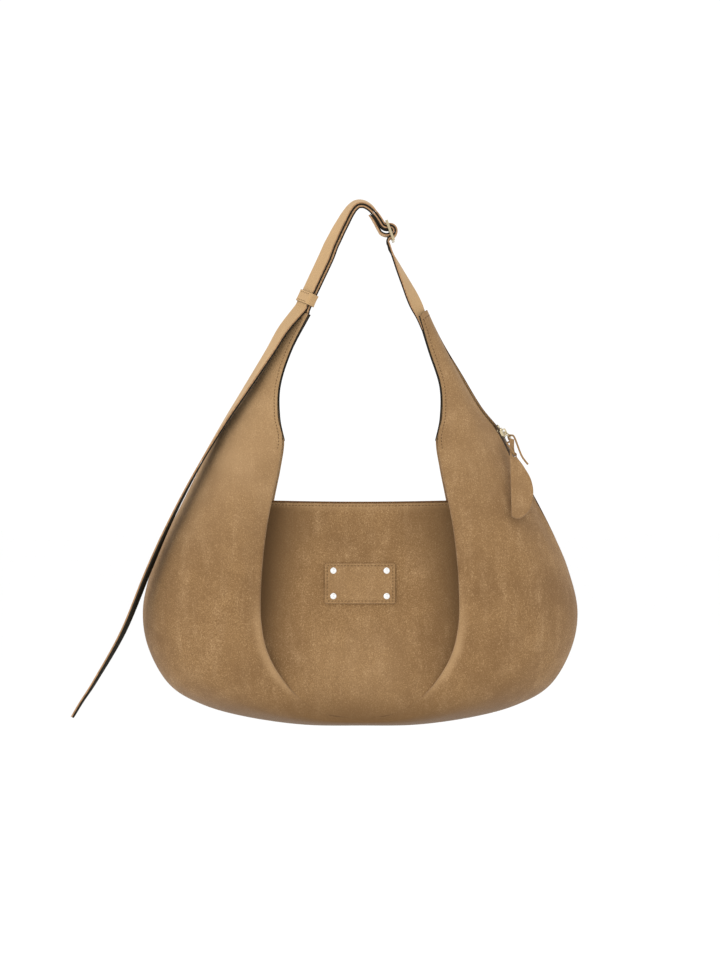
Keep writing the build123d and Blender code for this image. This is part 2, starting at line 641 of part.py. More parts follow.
def tip_inside(side):
    """The strap's hidden end, sewn inside the handle."""
    outer, inner = STATIONS[-2][0], STATIONS[-2][1]
    x = (outer[0] + inner[0]) / 2 * HALF_WIDTH
    below = plane_point(side * x, (level_z(outer[1]) + level_z(inner[1])) / 2)
    return tip_centre(side) + (below - tip_centre(side)).normalized() * STRAP_INSERT


def leg_stops(start, end, steps):
    """Stops along the straight left leg of the short strap."""
    return [(LEG_LOW + LEG_RUN * (start + (end - start) * k / steps), LEG_TURN) for k in range(steps + 1)]


def short_frames():
    """Left tip, over the top, round the buckle's middle bar and back along itself."""
    near = WRAP_RADIUS + STRAP_THICK + GAP
    stops = [(tip_inside(-1), TIP_TURN, TIP_STRAP), (tip_centre(-1), TIP_TURN - 2, TIP_STRAP)]
    stops.append((LEG_LOW, LEG_TURN + 6))
    stops += leg_stops(*LEG_STRAIGHT, 2)
    stops += [(plane_point(x, z), turn) for x, z, turn in SHORT_TOP]
    stops += arc_stops((0, -BAR_OFFSET), 166, 90, near, 5)
    stops += arc_stops((0, 0), -90, 90, FOLD_RADIUS, 10)[1:]
    stops += arc_stops((-RETURN_START, FOLD_RADIUS - RETURN_RADIUS), 90, RETURN_TURN, RETURN_RADIUS, 5)
    stops += returned_stops(stops[6:6 + len(SHORT_TOP)])
    return frames(stops)


def returned_stops(run):
    """The short strap's end, sewn flat against the underside of its own run."""
    places = frames(run)[-RETURN_STOPS:]
    turns = [-turn for _, _, turn in SHORT_TOP[-RETURN_STOPS:]]
    drop = STRAP_THICK + GAP
    stops = [(centre - normal * drop, turn) for (centre, _, normal, _), turn in zip(places, turns)]
    return stops[::-1]


def over_places(places, first, last, spacing):
    """The long strap's places where it lies on the short strap."""
    return [(c + normal * spacing, across, normal, width) for c, across, normal, width in places[first:last]]


def long_frames(short):
    """From just above the tail's hinge, over the short strap, through the buckle and down to the right tip."""
    leg = frames(leg_stops(HINGE_PLACE + STRAP_THICK / 2 + GAP, LEG_STRAIGHT[1], 3))
    run = over_places(leg, 0, 4, STRAP_SPACING)
    close = STRAP_THICK + GAP
    count = len(SHORT_TOP)
    for k in range(count):
        spacing = STRAP_SPACING + (close - STRAP_SPACING) * (k + 1) / count
        run += over_places(short, 6 + k, 7 + k, spacing)
    loop = arc_stops((0, -BAR_OFFSET), 166, 90, WRAP_RADIUS, 5)
    loop += arc_stops((0, 0), -90, 90, LOOP_RADIUS, 12)[1:]
    loop += [(buckle_point(-2.6, LOOP_RADIUS + 0.1), 0), (buckle_point(-5.0, LOOP_RADIUS + 1.3), 0),
             (buckle_point(-6.2, LOOP_RADIUS + 3.6), 0), (buckle_point(-6.2, LOOP_RADIUS + 7.0), 0)]
    rise = [(plane_point(x, z), turn) for x, z, turn in LONG_RISE[::-1]]
    rise += [(tip_centre(1), TIP_TURN - 2, TIP_STRAP), (tip_inside(1), TIP_TURN, TIP_STRAP)]
    return run + frames(loop + rise)


def tail_frames():
    """From the tail's tip up to the hinge below the keeper."""
    low, hinge = frames(leg_stops(HINGE_PLACE - 2, HINGE_PLACE, 1))
    stops = [(Vector(*TAIL_TIP[:3]), TAIL_TIP[3], TAIL_TIP_WIDTH)]
    stops += [(Vector(x, y, z), turn) for x, y, z, turn in TAIL_ROUTE[::-1]]
    stops.append((low[0] + low[2] * (STRAP_SPACING + 0.6), LEG_TURN))
    top = (hinge[0] + hinge[2] * STRAP_SPACING, hinge[1], hinge[2], STRAP_WIDTH)
    return frames(stops) + [top]


def tail_layer(side):
    """One layer of the tail, rounded at the hinge and narrowed at the tip."""
    places = tail_frames()
    shift = side * (STRAP_THICK - LAYER) / 2
    sections = [(c + normal * shift, across, width, normal, LAYER) for c, across, normal, width in places]
    centre, across, normal, width = places[-1]
    low = STRAP_THICK / 2 - LAYER
    for degrees in (30, 55):
        high = STRAP_THICK / 2 * math.cos(math.radians(degrees))
        rise = STRAP_THICK / 2 * math.sin(math.radians(degrees))
        place = centre + LEG_RUN * rise + normal * (side * (low + high) / 2)
        sections.append((place, across, width, normal, high - low))
    return band(sections)


def strap_keeper():
    """Closed band that holds both runs of strap together on the left leg."""
    centre, across, normal, _ = frames(leg_stops(KEEPER_POSITION, KEEPER_POSITION + 1, 1))[0]
    plane = Plane(origin=centre + normal * (STRAP_SPACING / 2), x_dir=across, z_dir=LEG_RUN)
    wide = STRAP_WIDTH + 2 * KEEPER_ROOM
    deep = STRAP_THICK + STRAP_SPACING + KEEPER_ROOM
    outer = Box(wide + 2 * KEEPER_WALL, deep + 2 * KEEPER_WALL, KEEPER_BAND)
    outer = fillet(outer.edges().filter_by(Axis.Z), KEEPER_WALL)
    return plane * (outer - Box(wide, deep, 2 * KEEPER_BAND))


def export(name, shape):
    export_step(shape, os.path.join("parts", name + ".step"))


def main():
    os.makedirs("parts", exist_ok=True)
    right_front, right_back = wing(1, True), wing(-1, True)
    left_front, left_back = flip_x(wing(1, False)), flip_x(wing(-1, False))
    export("right_wing_front", right_front)
    export("right_wing_back", right_back)
    export("left_wing_front", left_front)
    export("left_wing_back", left_back)
    panel = centre_panel()
    export("front_panel", pierced(panel))
    export("back_panel", flip_y(panel))
    pleat = pleat_return()
    export("front_pleat_right", pleat)
    export("front_pleat_left", flip_x(pleat))
    export("back_pleat_right", flip_y(pleat))
    export("back_pleat_left", flip_y(flip_x(pleat)))
    lining = lining_sheet()
    export("lining_front", lining)
    export("lining_back", flip_y(lining))
    binding = mouth_binding()
    export("mouth_binding_front", binding)
    export("mouth_binding_back", flip_y(binding))
    edge = wing_binding()
    export("wing_binding_front_right", edge)
    export("wing_binding_front_left", flip_x(edge))
    export("wing_binding_back_right", flip_y(edge))
    export("wing_binding_back_left", flip_x(flip_y(edge)))
    export("front_patch", front_patch())
    export("patch_rivets", rivet_heads())
    export("patch_rivet_caps", rivet_caps())
    export("zip_tape_front", zip_tape(-1))
    export("zip_tape_back", zip_tape(1))
    export("zip_teeth_front", zip_teeth(-1))
    export("zip_teeth_back", zip_teeth(1))
    export("zip_slider", zip_slider())
    export("pull_ring", pull_ring())
    export("pull_tag", pull_tag())
    export("pull_thong", pull_thong())
    export("buckle_frame", buckle_frame())
    short = short_frames()
    long = long_frames(short)
    export("short_strap_face", layer(short, 1))
    export("short_strap_lining", layer(short, -1))
    export("long_strap_face", layer(long, 1))
    export("long_strap_lining", layer(long, -1))
    export("tail_face", tail_layer(1))
    export("tail_lining", tail_layer(-1))
    export("strap_keeper", strap_keeper())
    export("zip_top_stop", zip_stop(-1.6))
    export("zip_bottom_stop", zip_stop(ZIP_LENGTH + 1.6))


main()
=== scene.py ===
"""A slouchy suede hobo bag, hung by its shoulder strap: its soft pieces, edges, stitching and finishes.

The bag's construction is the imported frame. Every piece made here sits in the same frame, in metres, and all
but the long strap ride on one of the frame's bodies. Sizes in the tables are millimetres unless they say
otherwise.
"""
import math

import bmesh
import bpy
from mathutils import Matrix, Vector, noise


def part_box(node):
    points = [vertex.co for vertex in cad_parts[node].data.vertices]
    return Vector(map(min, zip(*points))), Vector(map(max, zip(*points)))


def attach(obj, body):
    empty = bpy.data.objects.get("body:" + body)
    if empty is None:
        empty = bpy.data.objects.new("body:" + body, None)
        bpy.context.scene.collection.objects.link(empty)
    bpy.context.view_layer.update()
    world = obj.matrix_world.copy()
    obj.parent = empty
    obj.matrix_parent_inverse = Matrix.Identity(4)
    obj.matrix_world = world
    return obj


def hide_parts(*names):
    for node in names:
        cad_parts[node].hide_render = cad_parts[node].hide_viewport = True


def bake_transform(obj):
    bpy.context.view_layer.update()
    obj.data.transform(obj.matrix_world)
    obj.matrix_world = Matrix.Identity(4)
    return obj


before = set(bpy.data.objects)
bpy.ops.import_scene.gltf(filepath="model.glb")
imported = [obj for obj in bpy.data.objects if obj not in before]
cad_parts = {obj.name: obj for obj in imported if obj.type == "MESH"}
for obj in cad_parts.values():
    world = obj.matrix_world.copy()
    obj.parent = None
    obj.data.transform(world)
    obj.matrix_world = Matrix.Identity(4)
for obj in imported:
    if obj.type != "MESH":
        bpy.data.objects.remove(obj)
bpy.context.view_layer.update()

bl_info = {
    "name": "Suede hobo bag",
    "version": (1, 0, 0),
    "blender": (4, 5, 0),
    "location": "View3D > Sidebar > Hobo bag",
    "description": "Builds the soft pieces and finishes of a suede hobo bag round its packed frame",
    "category": "Object",
}

MM = 0.001
X, Y, Z = Vector((1, 0, 0)), Vector((0, 1, 0)), Vector((0, 0, 1))

# ---------------------------------------------------------------- the bag's own sizes
HALF_WIDTH = 228.0
Z_MOUTH = -308.0
Z_BASE = -544.0
HANDLE_HEIGHT = 193.5
BELLY = 56.0
WALL = 1.8
RIM_GAP = 0.2
PANEL_TOP_DEPTH = 14.0
PANEL_SLOPE = 0.1316
CORNER = 11

# One row is one rib of the horseshoe, from the bottom centre to the handle tip: outer end (share of the half
# width, level), inner end the same way, belly as a share of BELLY, inner edge's depth as a share of that, and
# turn in degrees. Level 0 is the base, 1 the mouth and 2 the handle tips.
RIBS = [
    ((0.000, 0.000), (0.000, 0.046), 0.77, 1.00, 90),
    ((0.263, 0.003), (0.158, 0.064), 0.82, 0.98, 90),
    ((0.518, 0.036), (0.289, 0.140), 0.89, 0.96, 90),
    ((0.724, 0.091), (0.377, 0.237), 0.96, 0.93, 90),
    ((0.877, 0.180), (0.432, 0.339), 1.00, 0.91, 90),
    ((0.974, 0.343), (0.458, 0.462), 1.00, 0.89, 90),
    ((1.000, 0.513), (0.461, 0.597), 0.98, 0.89, 90),
    ((0.956, 0.691), (0.450, 0.754), 0.93, 0.88, 90),
    ((0.890, 0.835), (0.432, 0.894), 0.86, 0.88, 90),
    ((0.816, 0.975), (0.410, 1.010), 0.77, 0.88, 90),
    ((0.728, 1.180), (0.382, 1.170), 0.64, 0.89, 90),
    ((0.658, 1.362), (0.355, 1.325), 0.52, 0.90, 88),
    ((0.574, 1.511), (0.371, 1.455), 0.36, 0.90, 84),
    ((0.469, 1.682), (0.364, 1.620), 0.22, 0.92, 76),
    ((0.382, 1.857), (0.311, 1.811), 0.14, 0.95, 65),
    ((0.313, 2.027), (0.249, 1.973), 0.10, 1.00, 50),
]
# The last rib's ends as the two handles are really cut.
RIGHT_TIP, LEFT_TIP = ((0.309, 2.034), (0.266, 1.990)), ((0.306, 2.030), (0.226, 2.004))
RIB_SHAPE = [(0.05, 0.25), (0.16, 0.55), (0.36, 0.86), (0.60, 1.00), (0.83, 1.00)]
# The right side's rims stand apart for the zip, by rib: (half gap, front rim set in, back rim set out).
ZIP_RIM = {
    6: (0.2, -0.4, 0.0), 7: (0.2, -0.8, 0.4), 8: (5.0, -1.6, 2.4), 9: (6.0, -1.0, 3.0), 10: (6.2, 3.0, 1.0),
    11: (6.6, 5.0, 0.5), 12: (4.0, 7.0, -2.5), 13: (1.5, 2.5, 1.0), 14: (0.6, 0.8, 0.5)}
LEFT_RIM = {7: 1.2, 8: 2.2, 9: 2.4, 10: 2.0, 11: 0.8}        # the left rims swell out under the tail


# ---------------------------------------------------------------- small shared makers
def level_z(level):
    if level <= 1:
        return Z_BASE + level * (Z_MOUTH - Z_BASE)
    return Z_MOUTH + (level - 1) * HANDLE_HEIGHT


def flat_point(x, z):
    return Vector((x, 0, z))


def ease(low, high, x):
    """0 below low, 1 above high, smooth between."""
    t = min(max((x - low) / (high - low), 0.0), 1.0)
    return t * t * (3 - 2 * t)


def between(pairs, x):
    for (x0, y0), (x1, y1) in zip(pairs, pairs[1:]):
        if x <= x1:
            return y0 + (y1 - y0) * (x - x0) / (x1 - x0)
    return pairs[-1][1]


def through(rows, t):
    """A smooth reading at place t of a list of numbers or vectors, passing through each."""
    last = len(rows) - 1
    k = min(max(int(math.floor(t)), 0), last - 1)
    f = t - k
    a, b = rows[k], rows[k + 1]
    before = rows[k - 1] if k else a * 2 - b
    after = rows[k + 2] if k + 2 <= last else b * 2 - a
    return (b * 2 * f * f * (3 - 2 * f) + a * 2 * (1 - f * f * (3 - 2 * f))
            + (b - before) * f * (1 - f) ** 2 - (after - a) * f * f * (1 - f)) * 0.5


def rough(point, seed):
    """Smooth noise from -1 to 1."""
    return noise.noise(point + Vector((seed * 13.7, seed * 5.1, seed * 9.3)))


def mesh_object(name, bm):
    mesh = bpy.data.meshes.new(name)
    bm.to_mesh(mesh)
    bm.free()
    for face in mesh.polygons:
        face.use_smooth = True
    obj = bpy.data.objects.new(name, mesh)
    bpy.context.scene.collection.objects.link(obj)
    return obj


def mapped_sheet(name, columns, rows, place, outward, closed=False):
    """A grid whose point (u, v), 0 to 1 each way, goes to place(u, v). outward(point) is its shown side."""
    bm = bmesh.new()
    bm.loops.layers.uv.new("UVMap")
    bmesh.ops.create_grid(bm, x_segments=columns, y_segments=rows, size=0.5, calc_uvs=True)
    for vert in bm.verts:
        vert.co = place(vert.co.x + 0.5, vert.co.y + 0.5) * MM
    if closed:
        bmesh.ops.remove_doubles(bm, verts=bm.verts, dist=1e-6)
    bm.normal_update()
    if sum(face.normal.dot(outward(face.calc_center_median() / MM)) for face in bm.faces) < 0:
        bmesh.ops.reverse_faces(bm, faces=bm.faces)
    return mesh_object(name, bm)


def thicken(obj, thickness, offset=-1.0, rim=0, inner=0, bevel=0.0):
    """Gives a sheet its wall, its rim and inner side in their own finishes, and softens the cut edges."""
    wall = obj.modifiers.new("wall", "SOLIDIFY")
    wall.thickness = thickness * MM
    wall.offset = offset
    wall.material_offset_rim = rim
    wall.material_offset = inner
    wall.use_even_offset = False
    if bevel:
        soft = obj.modifiers.new("soft_edge", "BEVEL")
        soft.width = bevel * MM
        soft.segments = 2
        soft.limit_method = "ANGLE"
        soft.angle_limit = math.radians(50)
    return obj


def settle(obj):
    """Applies a piece's modifiers, so its mesh is final."""
    bpy.context.view_layer.update()
    ready = obj.evaluated_get(bpy.context.evaluated_depsgraph_get())
    mesh = bpy.data.meshes.new_from_object(ready)
    obj.modifiers.clear()
    obj.data = mesh
    return obj


def dress(obj, body, slot, nodes, *finishes):
    """Rides a piece on its body, hides the frame nodes that it stands for, and gives it its finishes."""
    obj.data.materials.clear()
    for finish in finishes:
        obj.data.materials.append(finish)
    if body:
        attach(obj, body)
    if nodes:
        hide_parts(*nodes)
    return obj


# ---------------------------------------------------------------- finishes
def new_group(name, inputs, outputs):
    tree = bpy.data.node_groups.new(name, "ShaderNodeTree")
    for label, kind, default in inputs:
        socket = tree.interface.new_socket(label, in_out="INPUT", socket_type=kind)
        socket.default_value = default
    for label, kind in outputs:
        tree.interface.new_socket(label, in_out="OUTPUT", socket_type=kind)
    return tree, tree.nodes.new("NodeGroupInput"), tree.nodes.new("NodeGroupOutput")


def add(tree, kind, **values):
    node = tree.nodes.new(kind)
    for key, value in values.items():
        if hasattr(node, key):
            setattr(node, key, value)
        else:
            node.inputs[key.replace("_", " ")].default_value = value
    return node


def noise_at(tree, vector, scale, detail=2.0, rough_share=0.5):
    node = add(tree, "ShaderNodeTexNoise")
    node.inputs["Scale"].default_value = scale
    node.inputs["Detail"].default_value = detail
    node.inputs["Roughness"].default_value = rough_share
    tree.links.new(vector, node.inputs["Vector"])
    return node.outputs["Fac"]


def math_node(tree, operation, a, b=None, clamp=False):
    node = add(tree, "ShaderNodeMath", operation=operation, use_clamp=clamp)
    for slot, value in ((0, a), (1, b)):
        if value is None:
            continue
        if isinstance(value, (int, float)):
            node.inputs[slot].default_value = value
        else:
            tree.links.new(value, node.inputs[slot])
    return node.outputs[0]


def spread(tree, value, low, high):
    """Stretches the low..high part of a value to 0..1."""
    node = add(tree, "ShaderNodeMapRange", clamp=True)
    tree.links.new(value, node.inputs["Value"])
    node.inputs["From Min"].default_value = low
    node.inputs["From Max"].default_value = high
    return node.outputs["Result"]


def mix_colour(tree, factor, a, b, blend="MIX"):
    node = add(tree, "ShaderNodeMix", data_type="RGBA", blend_type=blend)
    for socket, value in ((node.inputs["Factor"], factor), (node.inputs[6], a), (node.inputs[7], b)):
        if isinstance(value, (int, float)) or isinstance(value, tuple):
            socket.default_value = value
        else:
            tree.links.new(value, socket)
    return node.outputs[2]


def stretched(tree, vector, scale):
    node = add(tree, "ShaderNodeMapping")
    node.inputs["Scale"].default_value = scale
    tree.links.new(vector, node.inputs["Vector"])
    return node.outputs["Vector"]


def nap_group():
    """Brushed nap: cloudy patches, hanging streaks and a short fine grain."""
    tree, given, result = new_group(
        "brushed_nap",
        [("Vector", "NodeSocketVector", (0, 0, 0)), ("Nap", "NodeSocketColor", (0.4, 0.25, 0.1, 1)),
         ("Brushed Dark", "NodeSocketColor", (0.3, 0.2, 0.1, 1)),
         ("Brushed Light", "NodeSocketColor", (0.5, 0.3, 0.2, 1)),
         ("Clouds", "NodeSocketFloat", 0.6), ("Streaks", "NodeSocketFloat", 0.5),
         ("Grain", "NodeSocketFloat", 0.5)],
        [("Color", "NodeSocketColor"), ("Height", "NodeSocketFloat"), ("Roughness", "NodeSocketFloat")])
    vector = given.outputs["Vector"]
    clouds = spread(tree, noise_at(tree, vector, 17.0, 5.0, 0.62), 0.34, 0.68)
    patches = spread(tree, noise_at(tree, vector, 55.0, 4.0, 0.6), 0.36, 0.66)
    hanging = stretched(tree, vector, (95.0, 95.0, 12.0))
    streaks = spread(tree, noise_at(tree, hanging, 1.0, 3.0, 0.55), 0.42, 0.80)
    grain = noise_at(tree, vector, 860.0, 3.0, 0.7)
    fibre = noise_at(tree, vector, 1500.0, 2.0, 0.6)
    dark = math_node(tree, "MULTIPLY", math_node(tree, "SUBTRACT", 1.0, clouds), given.outputs["Clouds"])
    colour = mix_colour(tree, dark, given.outputs["Nap"], given.outputs["Brushed Dark"])
    light = math_node(tree, "MULTIPLY", math_node(tree, "MULTIPLY", streaks, patches),
                      given.outputs["Streaks"])
    colour = mix_colour(tree, light, colour, given.outputs["Brushed Light"])
    speck = math_node(tree, "MULTIPLY", spread(tree, grain, 0.62, 0.34), given.outputs["Grain"])
    colour = mix_colour(tree, speck, colour, given.outputs["Brushed Dark"])
    glint = math_node(tree, "MULTIPLY", spread(tree, grain, 0.55, 0.80), given.outputs["Grain"])
    colour = mix_colour(tree, glint, colour, given.outputs["Brushed Light"])
    height = math_node(tree, "ADD", math_node(tree, "MULTIPLY", grain, 0.7),
                       math_node(tree, "MULTIPLY", fibre, 0.3))
    tree.links.new(colour, result.inputs["Color"])
    tree.links.new(height, result.inputs["Height"])
    tree.links.new(math_node(tree, "ADD", 0.82, math_node(tree, "MULTIPLY", grain, 0.16)),
                   result.inputs["Roughness"])
    return tree


def weave_group():
    """Plain weave: warp and weft ribs with slubs."""
    tree, given, result = new_group(
        "plain_weave",
        [("Vector", "NodeSocketVector", (0, 0, 0)), ("Warp", "NodeSocketColor", (0.1, 0.08, 0.05, 1)),
         ("Weft", "NodeSocketColor", (0.06, 0.05, 0.03, 1)), ("Threads", "NodeSocketFloat", 900.0)],
        [("Color", "NodeSocketColor"), ("Height", "NodeSocketFloat")])
    split = add(tree, "ShaderNodeSeparateXYZ")
    tree.links.new(given.outputs["Vector"], split.inputs[0])
    ribs = []
    for axis in ("X", "Z"):
        turn = math_node(tree, "MULTIPLY", split.outputs[axis], given.outputs["Threads"])
        ribs.append(math_node(tree, "ABSOLUTE", math_node(tree, "SINE", turn)))
    slub = noise_at(tree, given.outputs["Vector"], 240.0, 3.0, 0.6)
    height = math_node(tree, "MULTIPLY", math_node(tree, "MAXIMUM", ribs[0], ribs[1]), slub)
    colour = mix_colour(tree, spread(tree, height, 0.2, 0.7), given.outputs["Weft"], given.outputs["Warp"])
    tree.links.new(colour, result.inputs["Color"])
    tree.links.new(height, result.inputs["Height"])
    return tree


def scuff_group():
    """Fine scuffs and cloudy wear on painted edges and metal."""
    tree, given, result = new_group(
        "fine_scuffs",
        [("Vector", "NodeSocketVector", (0, 0, 0)), ("Clean", "NodeSocketColor", (0.1, 0.1, 0.1, 1)),
         ("Worn", "NodeSocketColor", (0.2, 0.2, 0.2, 1)), ("Scale", "NodeSocketFloat", 200.0),
         ("Low", "NodeSocketFloat", 0.2), ("High", "NodeSocketFloat", 0.4)],
        [("Color", "NodeSocketColor"), ("Roughness", "NodeSocketFloat"), ("Height", "NodeSocketFloat")])
    wear = add(tree, "ShaderNodeTexNoise", Detail=4.0)
    tree.links.new(given.outputs["Vector"], wear.inputs["Vector"])
    tree.links.new(given.outputs["Scale"], wear.inputs["Scale"])
    amount = spread(tree, wear.outputs["Fac"], 0.4, 0.7)
    colour = mix_colour(tree, amount, given.outputs["Clean"], given.outputs["Worn"])
    span = math_node(tree, "SUBTRACT", given.outputs["High"], given.outputs["Low"])
    tree.links.new(colour, result.inputs["Color"])
    tree.links.new(math_node(tree, "ADD", given.outputs["Low"], math_node(tree, "MULTIPLY", amount, span)),
                   result.inputs["Roughness"])
    tree.links.new(wear.outputs["Fac"], result.inputs["Height"])
    return tree


def new_finish(name, group, values, bump, bump_distance, uv=False, stretch=None, shaded=False,
               **shader_values):
    """A material: one effect group feeding a Principled shader, with its bump; when shaded, it also mixes in
    the painted highlight and painted shade that the piece's attributes hold.
    """
    material = bpy.data.materials.new(name)
    material.use_nodes = True
    tree = material.node_tree
    shader = tree.nodes["Principled BSDF"]
    for key, value in shader_values.items():
        shader.inputs[key.replace("_", " ")].default_value = value
    coordinates = add(tree, "ShaderNodeTexCoord").outputs["UV" if uv else "Object"]
    if stretch:
        coordinates = stretched(tree, coordinates, stretch)
    effect = add(tree, "ShaderNodeGroup")
    effect.node_tree = group
    tree.links.new(coordinates, effect.inputs["Vector"])
    for key, value in values.items():
        effect.inputs[key].default_value = value
    colour = effect.outputs["Color"]
    if shaded:
        # Painted light: the first point attribute mixes in the pale nap colour as a painted highlight, and
        # the shaded attribute mixes in a darker copy of the dark nap colour as painted shade.
        shade = add(tree, "ShaderNodeAttribute", attribute_name="painted_highlight")
        paler = mix_colour(tree, shade.outputs["Fac"], colour, values["Brushed Light"])
        deeper = add(tree, "ShaderNodeAttribute", attribute_name="shaded")
        colour = mix_colour(tree, deeper.outputs["Fac"], paler, lighter(values["Brushed Dark"], 0.72))
    tree.links.new(colour, shader.inputs["Base Color"])
    if "Roughness" in effect.outputs:
        tree.links.new(effect.outputs["Roughness"], shader.inputs["Roughness"])
    relief = add(tree, "ShaderNodeBump")
    relief.inputs["Strength"].default_value = bump
    relief.inputs["Distance"].default_value = bump_distance * MM
    tree.links.new(effect.outputs["Height"], relief.inputs["Height"])
    tree.links.new(relief.outputs["Normal"], shader.inputs["Normal"])
    return material


def linear(colour):
    """A property's colour as a socket value."""
    return (colour[0], colour[1], colour[2], 1.0)


def lighter(colour, share):
    return tuple(min(c * share, 1.0) for c in colour[:3]) + (1.0,)


FINISHES = {}


def napped(colour, dark, light, clouds, streaks, grain):
    return {"Nap": linear(colour), "Brushed Dark": lighter(colour, dark),
            "Brushed Light": lighter(colour, light), "Clouds": clouds, "Streaks": streaks, "Grain": grain}


def woven(colour, weft, threads):
    return {"Warp": linear(colour), "Weft": lighter(colour, weft), "Threads": threads}


def scuffed(colour, worn, scale, low, high):
    return {"Clean": linear(colour), "Worn": lighter(colour, worn), "Scale": scale, "Low": low, "High": high}


def make_finishes(looks):
    """Fills FINISHES from the colours."""
    nap, weave, scuffs = nap_group(), weave_group(), scuff_group()
    hide = {"Nap": linear(looks.suede), "Brushed Dark": linear(looks.suede_dark),
            "Brushed Light": linear(looks.suede_light)}
    fur = {"Sheen_Weight": 0.12, "Sheen_Roughness": 0.5, "Specular_IOR_Level": 0.15}
    FINISHES["suede"] = new_finish(
        "suede", nap, dict(hide, Clouds=0.95, Streaks=0.8, Grain=1.0), 0.7, 0.6, shaded=True, **fur)
    FINISHES["suede_pale"] = new_finish(
        "suede_pale", nap, napped(looks.strap, 0.78, 1.25, 0.5, 0.4, 0.4), 0.4, 0.4, **fur)
    FINISHES["inside"] = new_finish(
        "inside_suede", nap, napped(looks.inside, 0.5, 1.6, 0.5, 0.3, 0.4), 0.3, 0.3, Specular_IOR_Level=0.05)
    FINISHES["edge"] = new_finish(
        "painted_edge", scuffs, scuffed(looks.edge, 1.9, 300.0, 0.6, 0.85), 0.25, 0.3,
        Specular_IOR_Level=0.15)
    FINISHES["strap_edge"] = new_finish(
        "strap_edge", scuffs, scuffed(looks.strap_edge, 1.6, 400.0, 0.75, 0.95), 0.3, 0.3,
        Specular_IOR_Level=0.1)
    FINISHES["raw_edge"] = new_finish(
        "cut_edge", scuffs, scuffed(looks.cut_edge, 1.6, 500.0, 0.7, 0.9), 0.4, 0.3, Specular_IOR_Level=0.15)
    FINISHES["lining_cloth"] = new_finish(
        "lining_cloth", weave, woven(looks.lining, 0.55, 4200.0), 0.3, 0.2, Roughness=0.85, Sheen_Weight=0.15)
    FINISHES["zip_tape"] = new_finish(
        "zip_tape", weave, woven(looks.tape, 0.5, 5200.0), 0.4, 0.25, Roughness=0.8)
    FINISHES["coil"] = new_finish(
        "coil_teeth", scuffs, scuffed(looks.coil, 1.5, 900.0, 0.3, 0.5), 0.15, 0.1, Metallic=0.0)
    FINISHES["nickel"] = new_finish(
        "bright_nickel", scuffs, scuffed(looks.nickel, 0.85, 700.0, 0.12, 0.26), 0.05, 0.05, Metallic=1.0)
    FINISHES["gold"] = new_finish(
        "pale_gold", scuffs, scuffed(looks.gold, 0.8, 600.0, 0.22, 0.38), 0.06, 0.05, Metallic=1.0)
    FINISHES["thread"] = new_finish(
        "waxed_thread", nap, napped(looks.thread, 0.6, 1.3, 0.3, 0.2, 0.6), 0.2, 0.1, Specular_IOR_Level=0.3)
    FINISHES["thong"] = new_finish(
        "thong_leather", nap, dict(hide, Clouds=0.3, Streaks=0.2, Grain=0.5), 0.35, 0.25, **fur)


# ---------------------------------------------------------------- sizes and colours that a user may change
def length(name, description, default, low, high):
    return bpy.props.FloatProperty(
        name=name, description=description, default=default, min=low, max=high, unit="LENGTH")


THICKEST_TAG = (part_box("pull_tag")[1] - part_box("pull_tag")[0]).y


class HOBO_PG_sizes(bpy.types.PropertyGroup):
    """Sizes of the soft pieces."""
    fold_radius: length("Fold radius", "Radius of the rolled fold in a wing's edge", 0.0042, 0.001, 0.010)
    drape: length("Drape", "Height of the soft waves in the wings", 0.0024, 0.0, 0.006)
    stitch: length("Stitch", "Length of one stitch", 0.0024, 0.001, 0.006)
    thread: length("Thread", "Thickness of the thread", 0.0007, 0.0003, 0.0015)
    thong: length("Thong", "Thickness of the pull's thong", 0.0020, 0.001, 0.004)
    tag: length("Tag", "Thickness of the pull's tag", min(0.0026, THICKEST_TAG), 0.001, 0.004)


def colour(name, description, default):
    return bpy.props.FloatVectorProperty(
        name=name, description=description, default=default, subtype="COLOR", min=0.0, max=1.0)


class HOBO_PG_looks(bpy.types.PropertyGroup):
    """Colours of the finishes."""
    suede: colour("Suede", "The nap's middle colour", (0.318, 0.186, 0.078))
    # The dark nap colour is also the base of the painted shade, and the light nap colour is the colour of the
    # painted highlight.
    suede_dark: colour("Suede, brushed dark", "The nap lying away from the light", (0.190, 0.102, 0.040))
    suede_light: colour("Suede, brushed light", "The nap lying towards the light", (0.490, 0.315, 0.160))
    strap: colour("Strap suede", "The straps' smoother suede", (0.500, 0.320, 0.155))
    inside: colour("Inside", "The straps' and handles' inner side", (0.014, 0.011, 0.006))
    edge: colour("Painted edge", "The painted strap edges", (0.012, 0.009, 0.005))
    strap_edge: colour("Strap edge", "The cut edge of the straps' suede face", (0.300, 0.175, 0.090))
    cut_edge: colour("Bound edge", "The thin bound and cut edges", (0.085, 0.040, 0.014))
    lining: colour("Lining", "The lining cloth", (0.110, 0.072, 0.042))
    tape: colour("Zip tape", "The zip's woven tape", (0.070, 0.040, 0.020))
    coil: colour("Zip coil", "The zip's coil", (0.130, 0.085, 0.045))
    nickel: colour("Nickel", "The patch's rivets", (0.860, 0.850, 0.830))
    gold: colour("Pale gold", "The buckle, slider and ring", (0.560, 0.470, 0.300))
    thread: colour("Thread", "The stitching", (0.120, 0.062, 0.024))


def sizes():
    return bpy.context.scene.hobo_sizes


class HOBO_OT_finishes(bpy.types.Operator):
    """The suedes, cloths, metals and edges, from the colours"""
    bl_idname = "hobo.finishes"
    bl_label = "Finishes"

    def execute(self, context):
        make_finishes(context.scene.hobo_looks)
        return {"FINISHED"}


